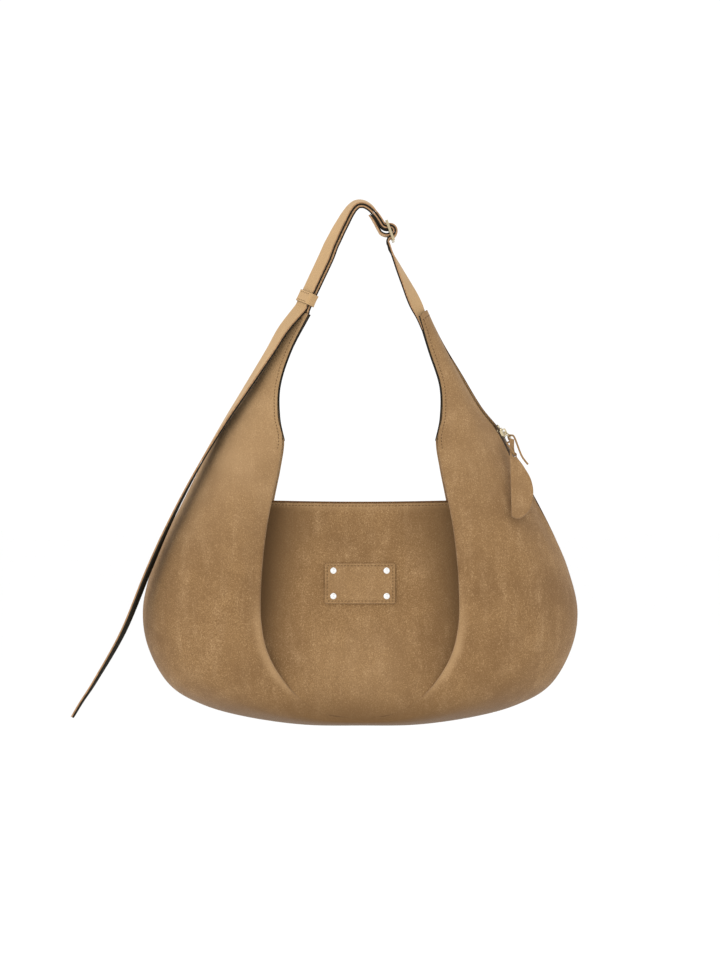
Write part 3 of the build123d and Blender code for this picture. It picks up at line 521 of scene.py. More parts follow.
# ---------------------------------------------------------------- the wings' shape
def rib_frame(index, zipped=True):
    """Outer end, inner end, width direction and front normal of a rib, laid out on the right side."""
    (ox, ol), (ix, il), _, _, turn = RIBS[index]
    if index == len(RIBS) - 1:
        (ox, ol), (ix, il) = RIGHT_TIP if zipped else LEFT_TIP
    outer, inner = flat_point(ox * HALF_WIDTH, level_z(ol)), flat_point(ix * HALF_WIDTH, level_z(il))
    if index == 0:
        return outer, inner, -Z, -Y
    outward, angle = (outer - inner).normalized(), math.radians(turn)
    across = Y * math.cos(angle) + outward * math.sin(angle)
    front = outward * math.cos(angle) - Y * math.sin(angle)
    centre, half = (outer + inner) / 2, (outer - inner).length / 2 / math.sin(angle)
    return centre + across * half, centre - across * half, across, front


def rib_row(index, side, zipped):
    """A rib's outline points in order from its outer end to its inner end."""
    _, _, belly, edge, _ = RIBS[index]
    outer, inner, across, front = rib_frame(index, zipped)
    gap, front_in, back_out = ZIP_RIM.get(index, (RIM_GAP, 0.0, 0.0)) if zipped else (RIM_GAP, 0.0, 0.0)
    outer = outer - across * (front_in if side > 0 else -back_out)
    if not zipped:
        outer = outer + across * LEFT_RIM.get(index, 0.0)
    depth = belly * BELLY
    if side < 0 and index >= CORNER:
        inner = inner + across * max(2 * depth * edge * abs(math.cos(math.radians(RIBS[index][4]))) - 0.8, 0)
    start = gap / depth
    rising = [(a, max(b, start + 0.1 * (k + 1))) for k, (a, b) in enumerate(RIB_SHAPE)]
    shape = [(0.0, start)] + rising + [(1.0, edge)]
    return [outer + (inner - outer) * a + front * (side * depth * b) for a, b in shape]


def flip(point):
    return Vector((-point.x, point.y, point.z))


class Wings:
    """The horseshoe on one side of the bag. Place 0 is the left tip, 15 the bottom centre, 30 the right."""

    def __init__(self, side):
        self.side = side
        right = [rib_row(k, side, True) for k in range(len(RIBS))]
        left = [[flip(p) for p in rib_row(k, side, False)] for k in range(len(RIBS) - 1, 0, -1)]
        rows = left + right
        self.columns = [[row[j] for row in rows] for j in range(len(rows[0]))]
        fronts = [rib_frame(k)[3] * side for k in range(len(RIBS))]
        self.fronts = [flip(f) for f in fronts[:0:-1]] + fronts
        self.middle = len(RIBS) - 1

    def surface(self, place, share):
        """A point on the smooth outer face; share 0 is the outer rim and 1 the inner edge."""
        row = [through(column, place) for column in self.columns]
        return through(row, share * (len(row) - 1))

    def front(self, place):
        return through(self.fronts, place).normalized()

    def rib(self, place):
        """Place along the horseshoe as a distance from the bottom centre, in ribs."""
        return abs(place - self.middle)

    def wave(self, place, share, point):
        """Height of the soft waves, none at the rims."""
        rib = self.rib(place)
        window = ease(0.0, 0.35, share) * ease(1.0, 0.86, share) * ease(14.0, 10.0, rib)
        hang = Vector((point.x / 46, 0, point.z / 150))
        broad = Vector((point.x / 95, 0, point.z / 120))
        height = 0.75 * rough(broad, self.side + 3) + 0.55 * rough(hang, self.side + 5)
        return window * height * sizes().drape / MM

    def draped(self, place, share):
        point = self.surface(place, share)
        return point + self.front(place) * self.wave(place, share, point)


HIDE = 1.0                  # the wings' suede, before it is glued double
HEM = 1.15                  # radius of a tight turned edge


def fold_size(rib):
    """Radius of the roll at the wing's inner edge: a tight hem at the bottom centre and on the handles."""
    full = sizes().fold_radius / MM
    grown = HEM + (full - HEM) * ease(0.6, 4.0, rib)
    return grown + (HEM - grown) * ease(CORNER - 1.2, CORNER + 0.2, rib)


FACE_SHARE = 0.80           # of a wing sheet's columns end on its face, and the rest go on to the roll
ROLL_SHARE = 0.90           # where the roll ends and the turned-in ply begins


def wing_place(wings, u, v):
    """The wing sheet: face, then the roll at its inner edge, then the ply turned in behind it."""
    place = u * 2 * wings.middle
    rib = wings.rib(place)
    if v <= FACE_SHARE:
        return wings.draped(place, v / FACE_SHARE)
    edge = wings.draped(place, 1.0)
    run = (edge - wings.draped(place, 0.97)).normalized()
    front = wings.front(place)
    front = (front - run * front.dot(run)).normalized()
    radius = fold_size(rib)
    turn = math.pi * (0.35 + 0.65 * ease(1.2, 3.2, rib))
    angle = turn * min((v - FACE_SHARE) / (ROLL_SHARE - FACE_SHARE), 1.0)
    rolled = edge - front * radius * (1 - math.cos(angle)) + run * radius * math.sin(angle)
    ply = 4.0 + 7.0 * ease(1.0, 3.0, rib) - 8.5 * ease(CORNER - 0.6, CORNER + 0.6, rib)
    back = ply * max(v - ROLL_SHARE, 0.0) / (1 - ROLL_SHARE)
    return rolled + (run * math.cos(turn) - front * math.sin(turn)) * back


def paint_light_and_shade(obj, painted_highlight, shaded):
    """Writes the painted highlight and the painted shade at each point, as attributes of the piece."""
    for name, rule in (("painted_highlight", painted_highlight), ("shaded", shaded)):
        layer = obj.data.attributes.new(name, "FLOAT", "POINT")
        for vert in obj.data.vertices:
            layer.data[vert.index].value = rule(vert.co / MM)


def fold_line():
    rows = []
    for index in range(CORNER + 1):
        inner = rib_frame(index)[1]
        rows.append((inner.z, inner.x, RIBS[index][2] * RIBS[index][3] * BELLY))
    return rows


FOLD = fold_line()


def fold_x(z):
    return between([(row[0], row[1]) for row in FOLD], z)


def fold_depth(z):
    return between([(row[0], row[2]) for row in FOLD], z)


def panel_depth(z):
    return min(PANEL_TOP_DEPTH + (Z_MOUTH - z) * PANEL_SLOPE, fold_depth(z) - RIM_GAP)


def fold_ridge_highlight(point):
    """Painted highlight: paler where the fold rolls into the bottom, and up the handles, most on the left."""
    high = ease(-400, -230, point.z) * (0.5 if point.x < 0 else 0.2) * (0.8 + 0.4 * rough(point / 26, 6))
    line = abs(abs(point.x) - fold_x(point.z)) if point.z > FOLD[0][0] else 60.0
    low = ease(-520, -490, point.z) * ease(-385, -460, point.z)
    return high + 0.65 * low * ease(10, 1, line) * (0.7 + 0.3 * rough(point / 22, 4))


def under(point):
    """Painted shade along the base."""
    return 0.75 * ease(-505, -546, point.z) + 0.25 * ease(-470, -520, point.z)


class HOBO_OT_wings(bpy.types.Operator):
    """The suede wings at the front and back, each one hide from handle tip to handle tip"""
    bl_idname = "hobo.wings"
    bl_label = "Wings"

    def execute(self, context):
        for word, side in (("front", 1), ("back", -1)):
            wings = Wings(side)
            obj = mapped_sheet(word + "_wings", 300, 60, lambda u, v: wing_place(wings, u, v),
                               lambda p: Vector((0, -side, 0)))
            # Painted highlight along the fold's ridge and up the handles, and painted shade along the base.
            paint_light_and_shade(obj, fold_ridge_highlight, under)
            thicken(obj, HIDE, rim=2, inner=1)
            dress(obj, "bag", "suede", ["left_wing_" + word, "right_wing_" + word],
                  FINISHES["suede"], FINISHES["inside"], FINISHES["raw_edge"])
        return {"FINISHED"}


# ---------------------------------------------------------------- centre panels, pleats and linings
PANEL_LEVELS = [(1.00, 22), (0.88, 22), (0.76, 22), (0.61, 22), (0.48, 22), (0.356, 16), (0.25, 9),
                (0.165, 5), (0.102, 3), (0.060, 2), (0.036, 16)]
PLEAT_LEVELS = [(0.25, 9), (0.356, 16), (0.48, 22), (1.00, 22)]


def mouth_z(x):
    """The mouth's edge hangs a little, most in the middle."""
    return Z_MOUTH - 1.2 - 1.6 * (1 - min(abs(x) / 105, 1.0) ** 2)


def settled_depth(x, z):
    """The panel's depth. Low down it swells out to meet the wing's edge, so the fold dies away there."""
    depth = panel_depth(z)
    low = ease(-478, -522, z) * ease(34, 0, fold_x(z) - abs(x))
    return depth + (max(fold_depth(z) - RIM_GAP, depth) - depth) * low


def panel_place(side, u, v):
    level = 1.0 - v * (1.0 - 0.036)
    z = level_z(level)
    tuck = between([(a, b) for a, b in PANEL_LEVELS[::-1]], level)
    x = (max(fold_x(z), 0) + tuck) * (2 * u - 1)
    inside = 1 - abs(2 * u - 1)
    z += (mouth_z(x) - Z_MOUTH) * ease(0.9, 1.0, level)
    broad, fine = Vector((x / 70, 0, z / 80)), Vector((x / 24, 0, z / 40))
    soft = 1.3 * rough(broad, side + 8) + 0.5 * rough(fine, side + 9)
    sag = soft * ease(0.0, 0.25, inside) * ease(1.0, 0.86, level) * ease(0.05, 0.3, level)
    flat = ease(52, 38, abs(x)) * ease(-425, -416, z) * ease(-364, -373, z) if side > 0 else 0
    return Vector((x, -side * (settled_depth(x, z) - sag * (1 - flat)), z))


def beside_fold(point):
    """Painted shade beside the folds, strongest above the middle, with the painted shade along the base
    added.
    """
    gap = fold_x(point.z) - abs(point.x)
    reach = 46 + 26 * ease(-420, -330, point.z)
    side = 1.0 if point.x < 0 else 0.75
    return side * ease(reach, 2, gap) * ease(-505, -400, point.z) * ease(-306, -318, point.z) + under(point)


def panel_highlight(point):
    """Painted highlight low in the middle of the panel and along the mouth."""
    low = ease(-420, -465, point.z) * ease(-535, -500, point.z) * ease(80, 10, abs(point.x))
    band = 0.5 * ease(-322, -312, point.z)
    return (0.22 * low + band) * (0.6 + 0.4 * rough(point / 30, 2))


class HOBO_OT_panels(bpy.types.Operator):
    """The recessed centre panels and the pleats that join them to the wings"""
    bl_idname = "hobo.panels"
    bl_label = "Centre panels"

    def execute(self, context):
        for word, side in (("front", 1), ("back", -1)):
            obj = mapped_sheet(word + "_centre_panel", 120, 90, lambda u, v: panel_place(side, u, v),
                               lambda p: Vector((0, -side, 0)))
            # Painted highlight low in the middle and along the mouth, and painted shade beside the folds and
            # along the base.
            paint_light_and_shade(obj, panel_highlight, beside_fold)
            thicken(obj, WALL, rim=2, inner=1)
            dress(obj, "bag", "suede", [word + "_panel"],
                  FINISHES["suede"], FINISHES["inside"], FINISHES["raw_edge"])
            for hand, sign in (("left", -1), ("right", 1)):
                self.pleat(word, side, hand, sign)
        return {"FINISHED"}

    def pleat(self, word, side, hand, sign):
        def place(u, v):
            level = 0.25 + 0.745 * v
            z = level_z(level)
            tuck = between(PLEAT_LEVELS, level)
            x, near, far = fold_x(z), fold_depth(z) - WALL - 0.6, panel_depth(z) + 0.3
            middle = (near + far) / 2
            path = [Vector((x + 2.5, near, z)), Vector((x + 0.55 * tuck, near - 0.3, z)),
                    Vector((x + 0.92 * tuck, (near + middle) / 2, z)), Vector((x + tuck, middle, z)),
                    Vector((x + 0.92 * tuck, (far + middle) / 2, z)), Vector((x + 0.5 * tuck, far, z))]
            point = through(path, u * 5)
            return Vector((sign * point.x, -side * point.y, point.z))
        obj = mapped_sheet(f"{word}_side_pleat_{hand}", 30, 50, place, lambda p: Vector((-sign, 0, 0)))
        # Painted shade over the whole pleat, which sits deep in the gap behind the wing's edge.
        paint_light_and_shade(obj, lambda p: 0.0, lambda p: 0.6)
        thicken(obj, 1.2)
        dress(obj, "bag", "suede", [f"{word}_pleat_{hand}"], FINISHES["suede"], FINISHES["inside"])


FACING_RIBS, FACING_WIDTH = (9.4, 10.0, 10.5, 11.0, 11.5, 12.0, 12.5, 13.0, 13.5), 8.0
LINING_SPACE = 1.8          # between a centre panel's inner side and the lining
LINING_ACROSS = [(-1, 0.1), (-0.94, 0.42), (-0.8, 0.78), (-0.5, 1), (0, 1), (0.5, 1), (0.8, 0.78),
                 (0.94, 0.42), (1, 0.1)]


class HOBO_OT_facing(bpy.types.Operator):
    """The suede facing behind the zip's upper end, along the back wing's rim"""
    bl_idname = "hobo.facing"
    bl_label = "Zip facing"

    def execute(self, context):
        back, places = Wings(-1), []
        for rib in FACING_RIBS:
            place = back.middle + rib
            rim, inward = back.surface(place, 0.0), back.surface(place, 0.08)
            run = (inward - rim).normalized()
            front = back.front(place)
            front = (front - run * front.dot(run)).normalized()
            places.append((rim + run * (FACING_WIDTH / 2) - front * (HIDE + 0.6), run, -front, FACING_WIDTH))
        obj = strip("zip_facing", places, 60, 4, 0.9, rim=0)
        # A faint, even painted highlight and painted shade over the facing.
        paint_light_and_shade(obj, lambda p: 0.1, lambda p: 0.1)
        dress(obj, "bag", "suede", [], FINISHES["suede"])
        return {"FINISHED"}


class HOBO_OT_linings(bpy.types.Operator):
    """The drop-in lining, front half and back half"""
    bl_idname = "hobo.linings"
    bl_label = "Linings"

    def execute(self, context):
        heights = [level_z(level) for level in (0.985, 0.85, 0.7, 0.5, 0.3, 0.15)]
        rows = [(z, panel_depth(z) - WALL - LINING_SPACE) for z in heights]
        deep = rows[-1][1]
        rows += [(level_z(0.060), deep * 0.95), (level_z(0.036), deep * 0.76), (level_z(0.024), deep * 0.42),
                 (level_z(0.020), 0.4)]
        outline = sorted((level_z(r[0][1]), r[0][0] * HALF_WIDTH) for r in RIBS[:CORNER])
        for word, side in (("front", 1), ("back", -1)):
            def place(u, v):
                z = through([r[0] for r in rows], v * (len(rows) - 1))
                depth = through([r[1] for r in rows], v * (len(rows) - 1))
                inset = 10.5 + 18 * max(0, 1 - (z - Z_BASE) / (0.3 * (Z_MOUTH - Z_BASE)))
                half = between(outline, z) - inset
                full = between(LINING_ACROSS, 2 * u - 1)
                crumple = 0.9 * (1 + rough(Vector((half * u / 18, 0, z / 45)), side)) * ease(0.06, 0.2, v)
                return Vector((half * (2 * u - 1), -side * max(depth * full - crumple, 0.4), z))
            obj = mapped_sheet("lining_cloth_" + word, 100, 60, place, lambda p: Vector((0, -side, 0)))
            thicken(obj, 0.8)
            dress(obj, "bag", "lining_cloth", ["lining_" + word], FINISHES["lining_cloth"])
        return {"FINISHED"}


# ---------------------------------------------------------------- strips: bindings, straps and tapes
def resample(places, count):
    """Smooth places along a strip: each is (centre, width direction, normal, width)."""
    result = []
    for k in range(count + 1):
        t = (len(places) - 1) * k / count
        result.append((through([p[0] for p in places], t), through([p[1] for p in places], t).normalized(),
                       through([p[2] for p in places], t).normalized(), through([p[3] for p in places], t)))
    return result


def strip(name, places, count, across_count, thickness, shift=0.0, crown=0.0, rim=1, bevel=0.3, inner=0):
    """A flat strip along its places, crowned a little across its width."""
    fine = resample(places, count)

    def place(u, v):
        centre, across, normal, width = fine[min(int(round(u * count)), count)]
        rise = crown * (1 - (2 * v - 1) ** 2)
        return centre + across * (width * (v - 0.5)) + normal * (shift + rise)
    obj = mapped_sheet(name, count, across_count, place, lambda p: Vector((0, 0, 0)))
    if obj.data.polygons[0].normal.dot(fine[0][2]) < 0:
        obj.data.flip_normals()
    return thicken(obj, thickness, offset=0.0, rim=rim, inner=inner, bevel=bevel)


class HOBO_OT_bindings(bpy.types.Operator):
    """The thin bound edges of the mouth and of the handles"""
    bl_idname = "hobo.bindings"
    bl_label = "Bound edges"

    def execute(self, context):
        for word, side in (("front", 1), ("back", -1)):
            half = fold_x(Z_MOUTH) + 21
            y = -side * (PANEL_TOP_DEPTH + 0.3 - WALL / 2)
            places = [(Vector((half * s, y, mouth_z(half * s) + 0.5)), Z, Y * -side, 1.2)
                      for s in (-1, -0.75, -0.5, -0.25, 0, 0.25, 0.5, 0.75, 1)]
            obj = strip("mouth_edge_" + word, places, 80, 4, 2.3, crown=0.1, rim=0, bevel=0.5)
            dress(obj, "bag", "binding", ["mouth_binding_" + word], FINISHES["raw_edge"])
            wings = Wings(side)
            for hand, sign in (("left", -1), ("right", 1)):
                places = []
                for rib in range(CORNER, len(RIBS)):
                    place = wings.middle + sign * rib
                    edge, run = wings.surface(place, 1.0), None
                    run = (edge - wings.surface(place, 0.97)).normalized()
                    front = wings.front(place)
                    front = (front - run * front.dot(run)).normalized()
                    places.append((edge + run * 1.25 - front * 1.1, run, front, 0.9))
                obj = strip(f"handle_edge_{word}_{hand}", places, 90, 4, 1.3, crown=0.1, rim=0, bevel=0.3)
                dress(obj, "bag", "binding", [f"wing_binding_{word}_{hand}"], FINISHES["edge"])
        return {"FINISHED"}


# ---------------------------------------------------------------- straps
STRAP_WIDTH, STRAP_THICK, LAYER, STRAP_SPACING = 20.0, 3.0, 1.4, 4.0
TIP_STRAP, TIP_TURN, LEG_TURN, STRAP_INSERT = 13.0, 50, 34.0, 14.0
BUCKLE_LEAN = math.radians(20.2)
BUCKLE_DOWN = Vector((math.sin(BUCKLE_LEAN), 0, -math.cos(BUCKLE_LEAN)))
BUCKLE_RIGHT = Vector((math.cos(BUCKLE_LEAN), 0, math.sin(BUCKLE_LEAN)))
BUCKLE_AT = flat_point(31.5, -25.6)
FOLD_RADIUS, LOOP_RADIUS, WRAP_RADIUS = 3.0, 6.4, 3.6
BAR_OFFSET = LOOP_RADIUS + WRAP_RADIUS
LEG_LOW = flat_point(-59.5, -108.5)
LEG_RUN = Vector((0.424, 0, 0.906)).normalized()
LEG_STRAIGHT = (4.0, 60.0)
HINGE_PLACE = 2.0
SHORT_TOP = [(-28.9, -41.7, 31), (-24.7, -33.3, 29), (-20.5, -24.9, 27), (-15.8, -16.5, 24),
             (-11.7, -9.2, 21), (-7.2, -2.8, 18), (-3.2, 0.7, 16), (0.0, 1.5, 14),
             (4.4, 0.8, 11), (9.2, -2.2, 8), (13.4, -6.8, 4),
             (17.2, -12.2, 0)]
LONG_RISE = [(59.2, -104.0, 42), (54.4, -93.5, 34), (48.6, -81.0, 25), (42.4, -68.0, 16), (36.6, -55.4, 7),
             (31.8, -45.0, 0)]
TAIL_ROUTE = [(-72, -6, -113.5, 33), (-80, -8.5, -129, 29), (-95, -10, -154, 23), (-119, -14, -192, 15),
              (-143, -18, -230, 8), (-172, -23, -280, 2), (-198, -26, -331, -2), (-220, -28, -381, -7),
              (-246, -28, -444, -6), (-275, -26, -495, -2), (-290, -25, -518, 0)]
TAIL_TIP = (-299, -24, -533, 0)
TAIL_TIP_WIDTH = 11.0


def framed(stops):
    """(centre, width direction, outward normal, width) at each stop: centre, turn in degrees, any width."""
    result = []
    for k, stop in enumerate(stops):
        turn = math.radians(stop[1])
        along = (stops[min(k + 1, len(stops) - 1)][0] - stops[max(k - 1, 0)][0]).normalized()
        outward = along.cross(Y).normalized()
        across = Y * math.cos(turn) + outward * math.sin(turn)
        across = (across - along * across.dot(along)).normalized()
        width = stop[2] if len(stop) > 2 else STRAP_WIDTH
        result.append((stop[0], across, along.cross(across).normalized(), width))
    return result


def arc_stops(right, down, start, end, radius, steps):
    stops = []
    for k in range(steps + 1):
        angle = math.radians(start + (end - start) * k / steps)
        spot = BUCKLE_RIGHT * (right + radius * math.cos(angle))
        spot += BUCKLE_DOWN * (down + radius * math.sin(angle))
        stops.append((BUCKLE_AT + spot, 0))
    return stops


def buckle_point(right, down):
    return BUCKLE_AT + BUCKLE_RIGHT * right + BUCKLE_DOWN * down


def tip_centre(side, index=-1):
    outer, inner = RIBS[index][0], RIBS[index][1]
    return flat_point(side * (outer[0] + inner[0]) / 2 * HALF_WIDTH,
                      (level_z(outer[1]) + level_z(inner[1])) / 2)


def tip_inside(side):
    top = tip_centre(side)
    return top + (tip_centre(side, -2) - top).normalized() * STRAP_INSERT


def leg_stops(start, end, steps):
    return [(LEG_LOW + LEG_RUN * (start + (end - start) * k / steps), LEG_TURN) for k in range(steps + 1)]


def short_places():
    """Left tip, over the top, round the buckle's middle bar and back along itself."""
    near = WRAP_RADIUS + STRAP_THICK + 0.4
    stops = [(tip_inside(-1), TIP_TURN, TIP_STRAP), (tip_centre(-1), TIP_TURN - 2, TIP_STRAP),
             (LEG_LOW, LEG_TURN + 6)]
    stops += leg_stops(*LEG_STRAIGHT, 2)
    stops += [(flat_point(x, z), turn) for x, z, turn in SHORT_TOP]
    stops += arc_stops(0, -BAR_OFFSET, 166, 90, near, 5)
    stops += arc_stops(0, 0, -90, 90, FOLD_RADIUS, 10)[1:]
    stops += arc_stops(-2.0, FOLD_RADIUS - 8.4, 90, 166, 8.4, 5)
    for spot, (centre, _, normal, _) in zip(SHORT_TOP[:-3:-1], framed(stops[6:6 + len(SHORT_TOP)])[:-3:-1]):
        stops.append((centre - normal * (STRAP_THICK + 0.4), -spot[2]))
    return framed(stops)


def off(places, spacing):
    return [(c + n * spacing, a, n, w) for c, a, n, w in places]


def long_places(short):
    """From the hinge of the tail, over the short strap, through the buckle and down to the right tip."""
    run = off(framed(leg_stops(HINGE_PLACE + 4.0, LEG_STRAIGHT[1], 3)), STRAP_SPACING)
    close, count = STRAP_THICK + 0.4, len(SHORT_TOP)
    for k in range(count):
        run += off(short[6 + k:7 + k], STRAP_SPACING + (close - STRAP_SPACING) * (k + 1) / count)
    loop = arc_stops(0, -BAR_OFFSET, 166, 90, WRAP_RADIUS, 5)
    loop += arc_stops(0, 0, -90, 90, LOOP_RADIUS, 12)[1:]
    loop += [(buckle_point(-2.6, LOOP_RADIUS + 0.1), 0), (buckle_point(-5.0, LOOP_RADIUS + 1.3), 0),
             (buckle_point(-6.2, LOOP_RADIUS + 3.6), 0), (buckle_point(-6.2, LOOP_RADIUS + 7.0), 0)]
    rise = [(flat_point(x, z), turn) for x, z, turn in LONG_RISE[:0:-1]]
    rise += [(flat_point(*LONG_RISE[0][:2]), LONG_RISE[0][2], 17.5)]
    rise += [(tip_centre(1), TIP_TURN - 2, TIP_STRAP), (tip_inside(1), TIP_TURN, TIP_STRAP)]
    return run + framed(loop + rise)


def tail_places():
    """From the tail's tip up to the hinge below the keeper."""
    low, _ = framed(leg_stops(HINGE_PLACE - 2, HINGE_PLACE, 1))
    stops = [(Vector(TAIL_TIP[:3]), TAIL_TIP[3], TAIL_TIP_WIDTH)]
    stops += [(Vector((x, y, z)), turn) for x, y, z, turn in TAIL_ROUTE[:0:-1]]
    stops.append((low[0] + low[2] * (STRAP_SPACING + 0.3), LEG_TURN))
    return framed(stops)


class HOBO_OT_straps(bpy.types.Operator):
    """The short strap, and the long strap with its loose tail, each a suede face on a dark lining"""
    bl_idname = "hobo.straps"
    bl_label = "Straps"

    def execute(self, context):
        short = short_places()
        tail = tail_places()
        long = tail + long_places(short)
        shift = (STRAP_THICK - LAYER) / 2
        for name, places, count in (("short_strap", short, 420), ("long_strap", long, 900)):
            for layer, side, skin in (("face", 1, "suede_pale"), ("lining", -1, "inside")):
                obj = strip(f"{name}_{layer}_ply", places, count, 8, LAYER, shift=side * shift,
                            crown=side * 0.12)
                obj.data.materials.clear()
                for finish in (FINISHES[skin], FINISHES["strap_edge" if layer == "face" else "edge"]):
                    obj.data.materials.append(finish)
                settle(obj)
                if name == "short_strap":
                    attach(obj, "bag")
                    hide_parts("short_strap_" + layer)
                else:
                    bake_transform(obj)
                    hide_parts("long_strap_" + layer, "tail_" + layer)
        return {"FINISHED"}


class HOBO_OT_keeper(bpy.types.Operator):
    """The suede band that holds the two runs of strap together"""
    bl_idname = "hobo.keeper"
    bl_label = "Strap keeper"

    def execute(self, context):
        centre, across, normal, _ = framed(leg_stops(13.1, 14.1, 1))[0]
        middle = centre + normal * (STRAP_SPACING / 2)
        wide, deep, band = STRAP_WIDTH / 2 + 0.9 + 0.8, (STRAP_THICK + STRAP_SPACING) / 2 + 0.45 + 0.8, 12.6

        def place(u, v):
            angle = 2 * math.pi * u
            c, s = math.cos(angle), math.sin(angle)
            reach = (abs(c) ** 7 + abs(s) ** 7) ** (-1 / 7)
            flare = 0.25 * (2 * v - 1) ** 2
            return (middle + across * (wide + flare) * c * reach + normal * (deep + flare) * s * reach
                    + LEG_RUN * band * (v - 0.5))
        obj = mapped_sheet("keeper_band", 96, 12, place, lambda p: p - middle, closed=True)
        thicken(obj, 1.5, offset=0.0, rim=1, inner=2, bevel=0.3)
        dress(obj, "keeper", "suede_pale", ["strap_keeper"], FINISHES["suede_pale"], FINISHES["edge"],
              FINISHES["inside"])
        return {"FINISHED"}


# ---------------------------------------------------------------- patch, tag and thong
def panel_matrix(z):
    """A frame on the front panel's face at height z: x to the right, y up the panel and z out of the bag."""
    out = Vector((0, -1, PANEL_SLOPE)).normalized()
    up = Vector((0, PANEL_SLOPE, 1)).normalized()
    right = up.cross(out)
    turn = Matrix((right, up, out)).transposed().to_4x4()
    return Matrix.Translation(Vector((0, -panel_depth(z), z)) * MM) @ turn


PATCH = (73.5, 42.0, 2.2)
PATCH_Z = -394.5
PATCH_LIFT = 0.4
PATCH_CORNER, PATCH_EDGE = 2.2, 0.6
PATCH_SEAM = 2.6            # from the patch's edge to its stitching


class HOBO_OT_patch(bpy.types.Operator):
    """The stitched patch on the front panel, with its four rivets"""
    bl_idname = "hobo.patch"
    bl_label = "Patch and rivets"

    def execute(self, context):
        bm = bmesh.new()
        bmesh.ops.create_cube(bm, size=1.0)
        bmesh.ops.scale(bm, vec=Vector(PATCH) * MM, verts=bm.verts)
        upright = [e for e in bm.edges if abs(e.verts[0].co.z - e.verts[1].co.z) > MM]
        bmesh.ops.bevel(bm, geom=upright, offset=PATCH_CORNER * MM, segments=4, affect="EDGES", profile=0.5,
                        material=-1)
        top = [e for e in bm.edges if min(e.verts[0].co.z, e.verts[1].co.z) > 0.9 * MM]
        bmesh.ops.bevel(bm, geom=top, offset=PATCH_EDGE * MM, segments=3, affect="EDGES", profile=0.5,
                        material=-1)
        for face in bm.faces:
            face.material_index = 1 if abs(face.normal.z) < 0.95 else 0
        lift = Matrix.Translation((0, 0, (PATCH_LIFT + PATCH[2] / 2) * MM))
        bmesh.ops.transform(bm, matrix=panel_matrix(PATCH_Z) @ lift,
                            verts=bm.verts)
        obj = mesh_object("patch_plate", bm)
        for face in obj.data.polygons:
            face.use_smooth = False
        # A faint, even painted highlight over the patch.
        paint_light_and_shade(obj, lambda p: 0.12, lambda p: 0.0)
        dress(obj, "bag", "suede", ["front_patch"], FINISHES["suede"], FINISHES["raw_edge"])
        return {"FINISHED"}


TAG_TOP = Vector((156.3, -13.0, -243.0))
TAG_LEAN = math.radians(25)
TAG_SIZE = (23.0, 92.0)
TAG_EYE, TAG_EYE_AT = 4.4, (4.4, -20.0)
TAG_EDGE, TAG_BOW = 0.5, 0.9        # the cut edge's softening, and how far the tag bows forward


def tag_matrix():
    out = Vector((0, -math.cos(TAG_LEAN), math.sin(TAG_LEAN)))
    up = out.cross(X)
    turn = Matrix((X, up, out)).transposed().to_4x4()
    return Matrix.Translation(TAG_TOP * MM) @ turn


class HOBO_OT_tag(bpy.types.Operator):
    """The half-moon tag that hangs from the zip's thong"""
    bl_idname = "hobo.tag"
    bl_label = "Pull tag"

    def execute(self, context):
        w, h = TAG_SIZE
        curve = bpy.data.curves.new("tag_outline", "CURVE")
        curve.dimensions, curve.fill_mode, curve.resolution_u = "2D", "BOTH", 10
        curve.extrude = sizes().tag / 2 - TAG_EDGE * MM
        curve.bevel_depth, curve.bevel_resolution = TAG_EDGE * MM, 2
        curve.offset = -TAG_EDGE * MM
        points = [(0, 0), (0.2 * w, -0.02 * h), (0.24 * w, -0.20 * h), (0.62 * w, -0.37 * h),
                  (0.94 * w, -0.55 * h),
                  (0.97 * w, -0.76 * h), (0.72 * w, -0.93 * h), (0.25 * w, -h), (0, -0.975 * h)]
        self.spline(curve, points, {0, 1, 8})
        eye = [(TAG_EYE_AT[0] + TAG_EYE / 2 * math.cos(k * math.pi / 4),
                TAG_EYE_AT[1] + TAG_EYE / 2 * math.sin(k * math.pi / 4)) for k in range(8)]
        self.spline(curve, eye, set())
        outline = bpy.data.objects.new("tag_outline", curve)
        bpy.context.scene.collection.objects.link(outline)
        bpy.context.view_layer.update()
        mesh = bpy.data.meshes.new_from_object(outline.evaluated_get(bpy.context.evaluated_depsgraph_get()))
        bpy.data.objects.remove(outline)
        bpy.data.curves.remove(curve)
        bm = bmesh.new()
        bm.from_mesh(mesh)
        bpy.data.meshes.remove(mesh)
        bmesh.ops.remove_doubles(bm, verts=bm.verts, dist=1e-6)
        for k in range(1, 16):
            everything = bm.verts[:] + bm.edges[:] + bm.faces[:]
            bmesh.ops.bisect_plane(bm, geom=everything, plane_co=(0, -h * k / 16 * MM, 0), plane_no=(0, 1, 0))
        bmesh.ops.recalc_face_normals(bm, faces=bm.faces)
        for face in bm.faces:
            face.material_index = 1 if abs(face.normal.z) < 0.95 else 0
        for vert in bm.verts:
            down = -vert.co.y / MM / h
            vert.co.z += TAG_BOW * MM * math.sin(math.pi * down)
        bmesh.ops.transform(bm, matrix=tag_matrix(), verts=bm.verts)
        obj = mesh_object("hanging_tag", bm)
        for face in obj.data.polygons:
            face.use_smooth = False
        # A faint, even painted highlight over the tag.
        paint_light_and_shade(obj, lambda p: 0.15, lambda p: 0.0)
        dress(obj, "pull", "suede", ["pull_tag"], FINISHES["suede"], FINISHES["raw_edge"])
        return {"FINISHED"}

    def spline(self, curve, points, sharp):
        spline = curve.splines.new("BEZIER")
        spline.bezier_points.add(len(points) - 1)
        for k, (x, y) in enumerate(points):
            knot = spline.bezier_points[k]
            knot.co = (x * MM, y * MM, 0)
            knot.handle_left_type = knot.handle_right_type = "VECTOR" if k in sharp else "AUTO"
        spline.use_cyclic_u = True


